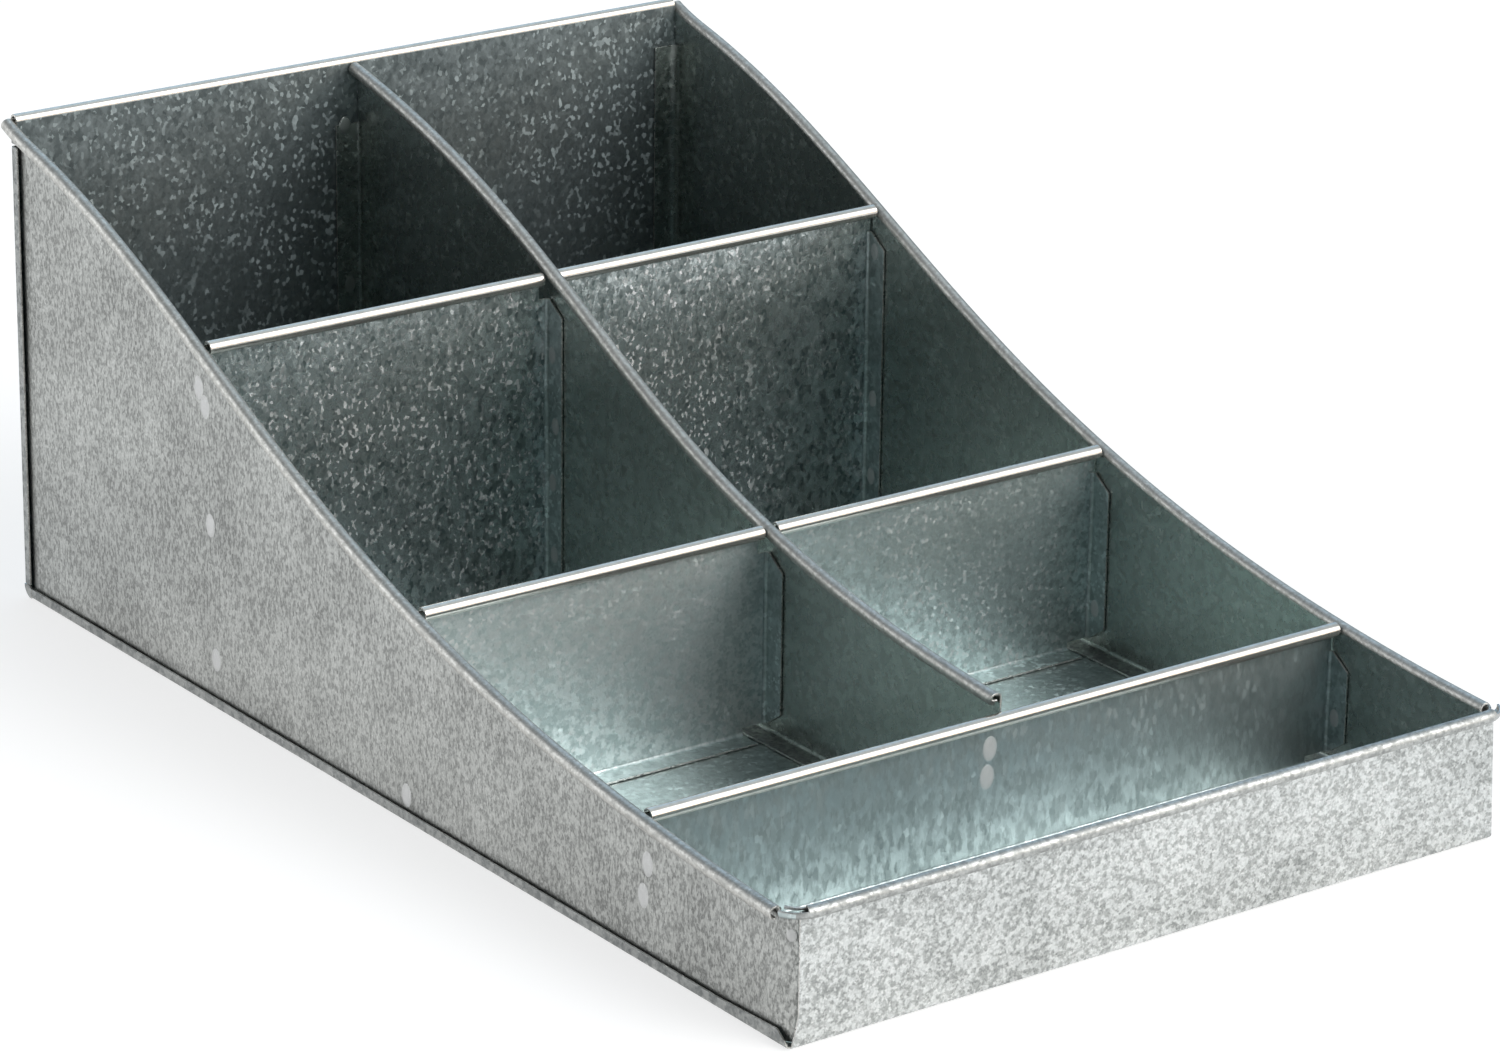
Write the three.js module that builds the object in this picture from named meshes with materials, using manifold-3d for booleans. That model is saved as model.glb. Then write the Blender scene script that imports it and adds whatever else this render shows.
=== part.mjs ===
// Stepped condiment organizer in spot-welded galvanised sheet: six bins in two columns that step down
// from a tall back to a full-width front tray. Millimetres, +Z up, the front faces -Y, and the origin
// is the middle of the underside.
import * as THREE from "three";
import { mergeVertices } from "three/addons/utils/BufferGeometryUtils.js";
import Module from "manifold-3d";

// Overall sizes
const WIDTH = 264; // across the outer faces of the side panels
const BACK_HEIGHT = 166.5; // to the top of the back bead
const FRONT_HEIGHT = 43.6; // to the top of the front bead
const REAR_BIN_DEPTH = 115; // outer face of the back to the rear face of the rear dividers
const MIDDLE_BIN_DEPTH = 122;
const FRONT_BIN_DEPTH = 118;
const TRAY_DEPTH = 75; // rear face of the front divider to the outer face of the front
const DEPTH = REAR_BIN_DEPTH + MIDDLE_BIN_DEPTH + FRONT_BIN_DEPTH + TRAY_DEPTH;

// Sheet, bends and seams
const SHEET = 0.7;
const SEAM_GAP = 0.2; // between two sheets that are welded together
const FLANGE_BEND = 1.4; // middle-line radius of a flange's bend
const FRONT_CORNER_BEND = 6; // of the side panels' upright corners
const BACK_CORNER_BEND = 3.5;
const HEEL_BEND = 4; // of the wrap sheet between floor and back
const TOE_BEND = 1.2; // of the wrap sheet between floor and front
const LIP_BEND = 0.9;
const BEND_SEGMENTS = 5;

// Rolled edges: outer diameters, and how far round the sheet is rolled
const SIDE_BEAD = 4.4;
const PARTITION_BEAD = 4.4;
const DIVIDER_BEAD = 4.6;
const BACK_BEAD = 4.2;
const FRONT_BEAD = 4;
const ROLL_DEGREES = 285;
const ROLL_SEGMENTS = 11;
const ROLL_LAP = 1.5; // flat strip below a swept roll, shared with its panel

// Ogee lines: the middle of the rolled edge, from a front point to a back point. A reach is how far the
// slope at that end pulls the line.
const OGEE_STEPS = 34;
const SIDE_FRONT_DROP = 4; // below the top of the front
const SIDE_FRONT_REACH = 246;
const SIDE_FRONT_SLOPE = 0.047;
const SIDE_BACK_DROP = 5.1; // below the top of the back
const SIDE_BACK_REACH = 129;
const SIDE_BACK_SLOPE = 0.192;
const PARTITION_FRONT_RISE = 5.5; // above the side panels' line, at the front divider
const PARTITION_FRONT_REACH = 193;
const PARTITION_FRONT_SLOPE = 0.07;
const PARTITION_BACK_DROP = 4;
const PARTITION_BACK_REACH = 153;
const PARTITION_BACK_SLOPE = 0.205;

// Flanges
const END_FLANGE = 8.5; // of the dividers, folded forwards
const FLOOR_FLANGE = 8.5;
const FRONT_FLANGE = 10; // of the side panels, behind the front
const BACK_FLANGE = 9.5; // of the side panels and the partition, on the back
const CORNER_RELIEF = 3; // height of the open corner where flanges meet
const FLANGE_SETBACK = 12; // of the floor flanges from the ends of their panel
const FLANGE_CHAMFER = 5;
const END_FLANGE_DROP = 7.5; // below the middle of a divider's bead
const SIDE_FLANGE_DROP = 16; // of the side panels' back flange, below the top of the back
const PARTITION_FLANGE_DROP = 23;

// Dividers
const DIVIDER_RISE = 0.5; // of a divider's bead above the side beads
const BEAD_CLEARANCE = 0.5; // between the end of a bead and what it runs up to

// Lips of the wrap sheet round the outside of the side panels, and its front edge
const LIP_GAP = 0.8;
const FLOOR_LIP = 3.9;
const FLOOR_LIP_MITRE = 4.6;
const BACK_LIP = 2.6;
const LIP_LAP = 2; // flat strip of a lip, shared with the floor or the back
const LIP_NOTCH = 1; // open corner between the floor lip and the back lip
const BACK_LIP_DROP = 10; // top of the back lips below the top of the back
const FRONT_EDGE_INSET = 1.8; // sides of the front inside the outer faces of the side panels
const FRONT_MITRE = 9; // height of the slant at the foot of the front's sides
const FRONT_BEAD_INSET = 2.6; // ends of the front bead inside the side panels

// Places that several pieces share
const FRONT_Y = -DEPTH / 2;
const BACK_Y = DEPTH / 2;
const SIDE_X = WIDTH / 2;
const HALF_SHEET = SHEET / 2;
const FLANGE_LIFT = SHEET + SEAM_GAP + HALF_SHEET; // middle of a flange welded to another sheet
const RELIEF_Z = SHEET + SEAM_GAP + CORNER_RELIEF;
const LIP_X = SIDE_X + LIP_GAP + HALF_SHEET;
const REAR_DIVIDER_Y = BACK_Y - REAR_BIN_DEPTH;
const MIDDLE_DIVIDER_Y = REAR_DIVIDER_Y - MIDDLE_BIN_DEPTH;
const FRONT_DIVIDER_Y = MIDDLE_DIVIDER_Y - FRONT_BIN_DEPTH;
const CLEAR = 60; // overshoot of a cutting block past the material

const wasm = await Module();
wasm.setup();

/** Middle line of a bent sheet in one plane, laid out as straight runs and bends. */
class SheetLine {
  constructor(u, v, headingDegrees) {
    this.u = u;
    this.v = v;
    this.heading = THREE.MathUtils.degToRad(headingDegrees);
    this.stations = [];
    this.mark();
  }

  mark() {
    this.stations.push({ u: this.u, v: this.v, heading: this.heading });
  }

  run(length) {
    this.u += length * Math.cos(this.heading);
    this.v += length * Math.sin(this.heading);
    this.mark();
    return this;
  }

  /** Turns left for positive degrees, on the middle-line radius. */
  bend(degrees, radius, segments = BEND_SEGMENTS) {
    const side = Math.sign(degrees);
    const step = THREE.MathUtils.degToRad(degrees) / segments;
    const centreU = this.u - side * radius * Math.sin(this.heading);
    const centreV = this.v + side * radius * Math.cos(this.heading);
    for (let i = 0; i < segments; i++) {
      this.heading += step;
      this.u = centreU + side * radius * Math.sin(this.heading);
      this.v = centreV - side * radius * Math.cos(this.heading);
      this.mark();
    }
    return this;
  }

  /** Rolls the edge into a bead of the given outer diameter; side is 1 for left, -1 for right. */
  roll(side, diameter) {
    return this.bend(side * ROLL_DEGREES, (diameter - SHEET) / 2, ROLL_SEGMENTS);
  }

  reversed() {
    const turned = this.stations.map((s) => ({ u: s.u, v: s.v, heading: s.heading + Math.PI }));
    return turned.reverse();
  }
}

/** Closed outline of a sheet that follows the stations of a middle line. */
function sheetOutline(stations) {
  const edge = (side) =>
    stations.map((s) => {
      const u = s.u - side * HALF_SHEET * Math.sin(s.heading);
      const v = s.v + side * HALF_SHEET * Math.cos(s.heading);
      return new THREE.Vector2(u, v);
    });
  return new THREE.Shape([...edge(1), ...edge(-1).reverse()]);
}

function polygon(...corners) {
  return new THREE.Shape(corners.map(([u, v]) => new THREE.Vector2(u, v)));
}

function solidOf(geometry) {
  geometry.deleteAttribute("normal");
  geometry.deleteAttribute("uv");
  const merged = mergeVertices(geometry);
  const vertProperties = new Float32Array(merged.attributes.position.array);
  const triVerts = new Uint32Array(merged.index.array);
  return new wasm.Manifold(new wasm.Mesh({ numProp: 3, vertProperties, triVerts }));
}

function geometryOf(solid) {
  const mesh = solid.getMesh();
  const geometry = new THREE.BufferGeometry();
  geometry.setAttribute("position", new THREE.BufferAttribute(mesh.vertProperties, 3));
  geometry.setIndex(new THREE.BufferAttribute(mesh.triVerts, 1));
  geometry.computeVertexNormals();
  return geometry;
}

const AXIS = {
  x: new THREE.Vector3(1, 0, 0),
  y: new THREE.Vector3(0, 1, 0),
  z: new THREE.Vector3(0, 0, 1),
};
// An outline's two coordinates are the axes that follow the named one: y, z for x; z, x for y; x, y for z.
const OUTLINE_PLANE = {
  x: new THREE.Matrix4().makeBasis(AXIS.y, AXIS.z, AXIS.x),
  y: new THREE.Matrix4().makeBasis(AXIS.z, AXIS.x, AXIS.y),
  z: new THREE.Matrix4(),
};

/** Solid of an outline pulled along an axis between two places. */
function prism(axis, outline, from, to) {
  const geometry = new THREE.ExtrudeGeometry(outline, { depth: to - from, bevelEnabled: false });
  geometry.translate(0, 0, from);
  geometry.applyMatrix4(OUTLINE_PLANE[axis]);
  return solidOf(geometry);
}

function block(low, high) {
  const size = high.map((value, i) => value - low[i]);
  const middle = high.map((value, i) => (value + low[i]) / 2);
  const geometry = new THREE.BoxGeometry(...size);
  geometry.translate(...middle);
  return solidOf(geometry);
}

const joined = (...solids) => solids.reduce((whole, solid) => whole.add(solid));
const cut = (solid, ...tools) => tools.reduce((rest, tool) => rest.subtract(tool), solid);

/** Ogee edge in an upright plane along Y; each end gives its y, z, reach and slope. */
class OgeeEdge {
  constructor(front, back) {
    this.front = front;
    this.back = back;
    this.points = this.curve(0).getSpacedPoints(OGEE_STEPS);
  }

  curve(x) {
    const { front, back } = this;
    return new THREE.CubicBezierCurve3(
      new THREE.Vector3(x, front.y, front.z),
      new THREE.Vector3(x, front.y + front.reach, front.z + front.reach * front.slope),
      new THREE.Vector3(x, back.y - back.reach, back.z - back.reach * back.slope),
      new THREE.Vector3(x, back.y, back.z),
    );
  }

  heightAt(y) {
    const next = Math.max(
      this.points.findIndex((point) => point.y >= y),
      1,
    );
    const [before, after] = [this.points[next - 1], this.points[next]];
    return THREE.MathUtils.mapLinear(y, before.y, after.y, before.z, after.z);
  }

  /** Everything above the line, for cutting a panel down to it. */
  above(fromX, toX) {
    const top = BACK_HEIGHT + CLEAR;
    const outline = [
      [this.front.y - CLEAR, top],
      [this.front.y - CLEAR, this.front.z],
      ...this.points.map((point) => [point.y, point.z]),
      [this.back.y + CLEAR, this.back.z],
      [this.back.y + CLEAR, top],
    ];
    return prism("x", polygon(...outline), fromX, toX);
  }

  /** Rolled edge swept along the line, rolled towards -X. */
  bead(x, diameter) {
    const section = new SheetLine(0, -ROLL_LAP, 90).run(ROLL_LAP).roll(-1, diameter);
    const outline = sheetOutline(section.stations);
    const sweep = { steps: OGEE_STEPS, extrudePath: this.curve(x), bevelEnabled: false };
    return solidOf(new THREE.ExtrudeGeometry(outline, sweep));
  }
}

const sideOgee = new OgeeEdge(
  {
    y: FRONT_Y + FLANGE_LIFT + FRONT_CORNER_BEND,
    z: FRONT_HEIGHT - SIDE_FRONT_DROP,
    reach: SIDE_FRONT_REACH,
    slope: SIDE_FRONT_SLOPE,
  },
  { y: BACK_Y, z: BACK_HEIGHT - SIDE_BACK_DROP, reach: SIDE_BACK_REACH, slope: SIDE_BACK_SLOPE },
);
const partitionOgee = new OgeeEdge(
  {
    y: FRONT_DIVIDER_Y + BEAD_CLEARANCE,
    z: sideOgee.heightAt(FRONT_DIVIDER_Y) + PARTITION_FRONT_RISE,
    reach: PARTITION_FRONT_REACH,
    slope: PARTITION_FRONT_SLOPE,
  },
  {
    y: BACK_Y - SHEET - SEAM_GAP,
    z: BACK_HEIGHT - PARTITION_BACK_DROP,
    reach: PARTITION_BACK_REACH,
    slope: PARTITION_BACK_SLOPE,
  },
);

/** Floor flange along the foot of an upright panel that stands in the YZ plane at x. */
function floorFlangeAlongY(x, side, fromY, toY) {
  const rise = RELIEF_Z + ROLL_LAP - FLANGE_LIFT;
  const line = new SheetLine(FLANGE_LIFT + rise, x, 180)
    .run(rise - FLANGE_BEND)
    .bend(-side * 90, FLANGE_BEND)
    .run(FLOOR_FLANGE - HALF_SHEET - FLANGE_BEND);
  return prism("y", sheetOutline(line.stations), fromY, toY);
}

/** Back, floor and front in one sheet, with rolled tops and lips round the side panels. */
function wrapSheet() {
  const floorRun = DEPTH / 2 - HALF_SHEET;
  const toBack = new SheetLine(0, HALF_SHEET, 0)
    .run(floorRun - HEEL_BEND)
    .bend(90, HEEL_BEND)
    .run(BACK_HEIGHT - BACK_BEAD / 2 - HALF_SHEET - HEEL_BEND)
    .roll(-1, BACK_BEAD);
  const toFront = new SheetLine(0, HALF_SHEET, 180)
    .run(floorRun - TOE_BEND)
    .bend(-90, TOE_BEND)
    .run(FRONT_HEIGHT - FRONT_BEAD / 2 - HALF_SHEET - TOE_BEND)
    .roll(1, FRONT_BEAD);
  const halfWidth = LIP_X - LIP_BEND;
  const section = sheetOutline([...toFront.reversed().slice(0, -1), ...toBack.stations]);
  const sheet = prism("x", section, -halfWidth, halfWidth);

  const lipTop = BACK_HEIGHT - BACK_LIP_DROP;
  const innerX = SIDE_X - SHEET - BEAD_CLEARANCE;
  const frontX = SIDE_X - FRONT_EDGE_INSET;
  const beadX = SIDE_X - FRONT_BEAD_INSET;
  const past = LIP_X + CLEAR;
  const frontInside = FRONT_Y + SHEET + TOE_BEND;
  const frontBeadFoot = FRONT_HEIGHT - FRONT_BEAD - BEAD_CLEARANCE;
  const mitreEnd = LIP_X + HALF_SHEET;
  const pieces = [];
  const cuts = [];
  for (const side of [-1, 1]) {
    const backLip = new SheetLine(side * LIP_X, BACK_Y - BACK_LIP, 90)
      .run(BACK_LIP - HALF_SHEET - LIP_BEND)
      .bend(side * 90, LIP_BEND)
      .run(LIP_LAP);
    pieces.push(
      prism("z", sheetOutline(backLip.stations), HALF_SHEET + HEEL_BEND + LIP_NOTCH, lipTop),
    );
    const floorLip = new SheetLine(FLOOR_LIP, side * LIP_X, 180)
      .run(FLOOR_LIP - HALF_SHEET - LIP_BEND)
      .bend(side * 90, LIP_BEND)
      .run(LIP_LAP);
    const lip = prism(
      "y",
      sheetOutline(floorLip.stations),
      FRONT_Y,
      BACK_Y - HALF_SHEET - HEEL_BEND - LIP_NOTCH,
    );
    const mitre = polygon(
      [FRONT_Y - CLEAR, -CLEAR],
      [FRONT_Y, 0],
      [FRONT_Y + FLOOR_LIP_MITRE, FLOOR_LIP],
      [FRONT_Y + FLOOR_LIP_MITRE, CLEAR],
      [FRONT_Y - CLEAR, CLEAR],
    );
    pieces.push(cut(lip, prism("x", mitre, -past, past)));

    const [low, high] = side < 0 ? [-past, -innerX] : [innerX, past];
    cuts.push(block([low, BACK_Y - CLEAR, lipTop], [high, BACK_Y + CLEAR, BACK_HEIGHT + CLEAR]));
    const [beadLow, beadHigh] = side < 0 ? [-past, -beadX] : [beadX, past];
    cuts.push(
      block(
        [beadLow, FRONT_Y - CLEAR, frontBeadFoot],
        [beadHigh, FRONT_Y + CLEAR, FRONT_HEIGHT + CLEAR],
      ),
    );
    const frontSide = polygon(
      [CLEAR + FRONT_HEIGHT, side * frontX],
      [SHEET + FRONT_MITRE, side * frontX],
      [SHEET, side * mitreEnd],
      [SHEET, side * past],
      [CLEAR + FRONT_HEIGHT, side * past],
    );
    cuts.push(prism("y", frontSide, FRONT_Y - CLEAR, frontInside));
  }
  return cut(joined(sheet, ...pieces), ...cuts);
}

/** Left side panel; the right one is its mirror image. */
function sidePanel() {
  const x = -SIDE_X + HALF_SHEET;
  const frontFlangeY = FRONT_Y + FLANGE_LIFT;
  const backFlangeY = BACK_Y - FLANGE_LIFT;
  const plan = new SheetLine(-SIDE_X + FRONT_FLANGE, frontFlangeY, 180)
    .run(FRONT_FLANGE - HALF_SHEET - FRONT_CORNER_BEND)
    .bend(-90, FRONT_CORNER_BEND)
    .run(backFlangeY - frontFlangeY - FRONT_CORNER_BEND - BACK_CORNER_BEND)
    .bend(-90, BACK_CORNER_BEND)
    .run(BACK_FLANGE - HALF_SHEET - BACK_CORNER_BEND);
  const upright = prism("z", sheetOutline(plan.stations), RELIEF_Z, BACK_HEIGHT);

  const flangeTop = BACK_HEIGHT - SIDE_FLANGE_DROP;
  const bendStart = backFlangeY - BACK_CORNER_BEND;
  const clipped = block(
    [-SIDE_X - CLEAR, bendStart, flangeTop],
    [-SIDE_X + CLEAR, BACK_Y + CLEAR, BACK_HEIGHT + CLEAR],
  );
  const tabTop = BACK_HEIGHT - BACK_LIP_DROP + BEAD_CLEARANCE;
  const inside = BACK_Y - SHEET - SEAM_GAP;
  const tab = polygon(
    [bendStart - ROLL_LAP, flangeTop],
    [inside, flangeTop],
    [inside, tabTop],
    [BACK_Y, tabTop],
    [BACK_Y, BACK_HEIGHT],
    [bendStart - ROLL_LAP, BACK_HEIGHT],
  );
  const panel = cut(
    joined(cut(upright, clipped), prism("x", tab, -SIDE_X, -SIDE_X + SHEET)),
    sideOgee.above(-SIDE_X - CLEAR, -SIDE_X + CLEAR),
  );
  const flange = floorFlangeAlongY(x, 1, FRONT_Y + FLANGE_SETBACK, BACK_Y - FLANGE_SETBACK);
  return joined(panel, sideOgee.bead(x, SIDE_BEAD), flange);
}

/** Partition between the two columns of bins, from the front divider to the back. */
function centrePartition() {
  const frontFlangeY = FRONT_DIVIDER_Y + SEAM_GAP + HALF_SHEET;
  const backFlangeY = BACK_Y - FLANGE_LIFT;
  const plan = new SheetLine(-END_FLANGE, frontFlangeY, 0)
    .run(END_FLANGE - FLANGE_BEND)
    .bend(90, FLANGE_BEND)
    .run(backFlangeY - frontFlangeY - 2 * FLANGE_BEND)
    .bend(90, FLANGE_BEND)
    .run(BACK_FLANGE - FLANGE_BEND);
  const upright = prism("z", sheetOutline(plan.stations), RELIEF_Z, BACK_HEIGHT);

  const backFlangeTop = BACK_HEIGHT - PARTITION_FLANGE_DROP;
  const bendStart = backFlangeY - FLANGE_BEND;
  const clippedBack = block(
    [-CLEAR, bendStart, backFlangeTop],
    [CLEAR, BACK_Y + CLEAR, BACK_HEIGHT + CLEAR],
  );
  const bendEnd = frontFlangeY + FLANGE_BEND;
  const frontFlangeTop = sideOgee.heightAt(bendEnd) - END_FLANGE_DROP;
  const clippedFront = block(
    [-CLEAR, FRONT_DIVIDER_Y - CLEAR, frontFlangeTop],
    [CLEAR, bendEnd, BACK_HEIGHT + CLEAR],
  );
  const backTab = block(
    [-HALF_SHEET, bendStart - ROLL_LAP, backFlangeTop],
    [HALF_SHEET, partitionOgee.back.y, BACK_HEIGHT],
  );
  const frontTab = block(
    [-HALF_SHEET, partitionOgee.front.y, frontFlangeTop],
    [HALF_SHEET, bendEnd + ROLL_LAP, BACK_HEIGHT],
  );
  const panel = cut(
    joined(cut(upright, clippedBack, clippedFront), backTab, frontTab),
    partitionOgee.above(-CLEAR, CLEAR),
  );
  const bead = cut(
    partitionOgee.bead(0, PARTITION_BEAD),
    block(
      [-CLEAR, FRONT_Y - CLEAR, -CLEAR],
      [CLEAR, partitionOgee.front.y, BACK_HEIGHT + CLEAR],
    ),
    block([-CLEAR, partitionOgee.back.y, -CLEAR], [CLEAR, BACK_Y + CLEAR, BACK_HEIGHT + CLEAR]),
  );
  const flange = floorFlangeAlongY(
    0,
    -1,
    FRONT_DIVIDER_Y + FLANGE_SETBACK,
    BACK_Y - FLANGE_SETBACK,
  );
  return joined(panel, bead, flange);
}

/**
 * Divider across a bin, with its rear face at y. The reaches are the faces of the walls at its ends,
 * and each end says how far its bead and its floor flange stay clear of that wall.
 */
function divider(y, left, right) {
  const middleY = y - HALF_SHEET;
  const beadY = y - DIVIDER_BEAD / 2;
  const beadMiddle = sideOgee.heightAt(beadY) + (SIDE_BEAD - DIVIDER_BEAD) / 2 + DIVIDER_RISE;
  const from = left.face + SEAM_GAP;
  const to = right.face - SEAM_GAP;
  const plan = new SheetLine(from + HALF_SHEET, middleY - END_FLANGE, 90)
    .run(END_FLANGE - FLANGE_BEND)
    .bend(-90, FLANGE_BEND)
    .run(to - from - SHEET - 2 * FLANGE_BEND)
    .bend(-90, FLANGE_BEND)
    .run(END_FLANGE - FLANGE_BEND);
  const upright = prism("z", sheetOutline(plan.stations), RELIEF_Z, beadMiddle);

  const flangeTop = beadMiddle - END_FLANGE_DROP;
  const bendY = middleY - FLANGE_BEND;
  const freeY = middleY - END_FLANGE;
  const slope = FLANGE_CHAMFER / (END_FLANGE - FLANGE_BEND);
  const pastChamfer = FLANGE_CHAMFER + slope * CLEAR;
  const aboveFlange = polygon(
    [y + CLEAR, flangeTop],
    [y + CLEAR, beadMiddle + CLEAR],
    [freeY - CLEAR, beadMiddle + CLEAR],
    [freeY - CLEAR, flangeTop - pastChamfer],
    [bendY, flangeTop],
  );
  const belowFlange = polygon(
    [bendY, RELIEF_Z],
    [freeY - CLEAR, RELIEF_Z + pastChamfer],
    [freeY - CLEAR, RELIEF_Z - CLEAR],
    [bendY, RELIEF_Z - CLEAR],
  );
  const bendWidth = FLANGE_BEND + SHEET;
  const leftCut = from + Math.max(bendWidth, left.beadReach);
  const rightCut = to - Math.max(bendWidth, right.beadReach);
  const trimmed = cut(
    upright,
    prism("x", aboveFlange, from - CLEAR, leftCut),
    prism("x", aboveFlange, rightCut, to + CLEAR),
    prism("x", belowFlange, from - CLEAR, to + CLEAR),
  );

  const roll = new SheetLine(middleY, beadMiddle - END_FLANGE_DROP, 90)
    .run(END_FLANGE_DROP)
    .roll(1, DIVIDER_BEAD);
  const bead = prism(
    "x",
    sheetOutline(roll.stations),
    left.face + left.beadReach + BEAD_CLEARANCE,
    right.face - right.beadReach - BEAD_CLEARANCE,
  );
  const rise = RELIEF_Z + ROLL_LAP - FLANGE_LIFT;
  const foot = new SheetLine(middleY, FLANGE_LIFT + rise, 270)
    .run(rise - FLANGE_BEND)
    .bend(-90, FLANGE_BEND)
    .run(FLOOR_FLANGE - FLANGE_BEND);
  const flange = prism(
    "x",
    sheetOutline(foot.stations),
    left.face + left.footReach + BEAD_CLEARANCE,
    right.face - right.footReach - BEAD_CLEARANCE,
  );
  return joined(trimmed, bead, flange);
}

const GALVANISED = { color: 0x9aa1a1, roughness: 0.42, metalness: 0.85 };
const SATIN_GALVANISED = { color: 0xa3a5a2, roughness: 0.55, metalness: 0.8 };

const organizer = new THREE.Group();

function place(name, solid, finish) {
  const mesh = new THREE.Mesh(geometryOf(solid), new THREE.MeshStandardMaterial(finish));
  mesh.name = name;
  organizer.add(mesh);
  return mesh;
}

// Walls that a divider's end meets: the face, the overhang of a bead and the reach of a floor flange
const footReach = FLOOR_FLANGE + HALF_SHEET;
const leftWall = { face: -SIDE_X + SHEET, beadReach: 0, footReach };
const rightWall = { face: SIDE_X - SHEET, beadReach: 0, footReach };
const partitionLeft = { face: -HALF_SHEET, beadReach: PARTITION_BEAD - SHEET, footReach };
const partitionRight = { face: HALF_SHEET, beadReach: 0, footReach: FLANGE_BEND };

place("wrap_sheet", wrapSheet(), GALVANISED);
place("left_side_panel", sidePanel(), SATIN_GALVANISED);
place("right_side_panel", sidePanel(), SATIN_GALVANISED).scale.x = -1;
place("centre_partition", centrePartition(), SATIN_GALVANISED);
for (const [row, y] of [
  ["rear", REAR_DIVIDER_Y],
  ["middle", MIDDLE_DIVIDER_Y],
]) {
  place(row + "_divider_left", divider(y, leftWall, partitionLeft), GALVANISED);
  place(row + "_divider_right", divider(y, partitionRight, rightWall), GALVANISED);
}
place("front_divider", divider(FRONT_DIVIDER_Y, leftWall, rightWall), GALVANISED);

export default organizer;
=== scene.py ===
"""Stepped condiment organizer in galvanised sheet steel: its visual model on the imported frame.

Every sheet is shaped in millimetres as its middle surface, with the bends, rolled edges and flanges of
a press brake, and then gets its thickness. The mesh goes to metres when the piece is finished.
"""
import logging
import math
from collections.abc import Callable
from dataclasses import dataclass
from enum import Enum
from typing import ClassVar

import bmesh
import bpy
from bmesh.types import BMEdge, BMesh, BMFace, BMVert
from mathutils import Matrix, Vector, geometry


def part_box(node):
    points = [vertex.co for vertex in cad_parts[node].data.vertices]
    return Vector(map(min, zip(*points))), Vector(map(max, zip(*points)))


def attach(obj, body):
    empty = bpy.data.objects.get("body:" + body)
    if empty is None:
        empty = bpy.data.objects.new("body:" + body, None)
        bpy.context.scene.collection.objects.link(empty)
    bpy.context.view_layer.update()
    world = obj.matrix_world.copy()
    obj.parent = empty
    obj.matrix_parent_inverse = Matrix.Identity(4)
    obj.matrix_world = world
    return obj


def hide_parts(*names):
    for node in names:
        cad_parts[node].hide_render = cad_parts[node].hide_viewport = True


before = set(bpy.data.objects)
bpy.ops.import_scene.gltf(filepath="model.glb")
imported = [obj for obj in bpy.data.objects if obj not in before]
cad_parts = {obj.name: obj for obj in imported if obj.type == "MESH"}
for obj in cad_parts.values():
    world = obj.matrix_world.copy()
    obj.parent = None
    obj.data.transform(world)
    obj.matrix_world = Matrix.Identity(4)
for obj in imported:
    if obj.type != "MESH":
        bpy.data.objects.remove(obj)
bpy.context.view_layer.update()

log = logging.getLogger("organizer")

MM = 0.001
NEAR = 0.02  # millimetres within which places count as one
MERGE = 0.005  # millimetres within which vertices are merged
X, Y, Z = Vector((1, 0, 0)), Vector((0, 1, 0)), Vector((0, 0, 1))
MID_GREY = (0.5, 0.5, 0.5)

Colour = tuple[float, float, float]
Marks = tuple[tuple[float, float], ...]
Test = Callable[[Vector], bool]


def frame_box(node: str) -> tuple[Vector, Vector]:
    """Gives the lowest and the highest corner of a frame node, in millimetres."""
    low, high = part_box(node)
    return Vector(low) / MM, Vector(high) / MM


class Side(Enum):
    """Left or right, with the sign of its X."""

    LEFT = -1
    RIGHT = 1


class Region(Enum):
    """Stretches of a sheet that are dressed apart; the value is the first of their three slots."""

    PANEL = 0
    BEAD = 3
    LIP = 6
    HEM = 9
    BACK = 12


class EndFit(Enum):
    """What a divider's end runs up to: the overhang of a bead there, and the reach of a floor flange."""

    SIDE_WALL = (0.0, 8.85)
    BEAD_SIDE = (3.7, 8.85)
    PLAIN_SIDE = (0.0, 1.75)


@dataclass(frozen=True)
class SheetStock:
    """Sheet, bends and seams that all the pieces share, in millimetres."""

    thickness: float = 0.7
    seam: float = 0.2
    flange_bend: float = 1.4
    end_flange: float = 8.5
    floor_flange: float = 8.5
    flange_setback: float = 12.0
    bead_clearance: float = 0.5
    corner_bend: float = 6.0
    edge_round: float = 0.13
    edge_steps: int = 2
    edge_angle: float = 50.0
    bend_steps: int = 6
    roll_degrees: float = 285.0
    roll_steps: int = 18

    @property
    def half(self) -> float:
        """Half the thickness of the sheet."""
        return self.thickness / 2

    @property
    def lift(self) -> float:
        """Middle of a flange that is welded to another sheet, above that sheet's far face."""
        return self.thickness + self.seam + self.half

    @property
    def foot(self) -> float:
        """Height where an upright panel starts to bend into its floor flange."""
        return self.lift + self.flange_bend

    def roll_radius(self, bead: float) -> float:
        """Middle-surface radius of a rolled edge of that outer diameter."""
        return (bead - self.thickness) / 2


STOCK = SheetStock()


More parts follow.
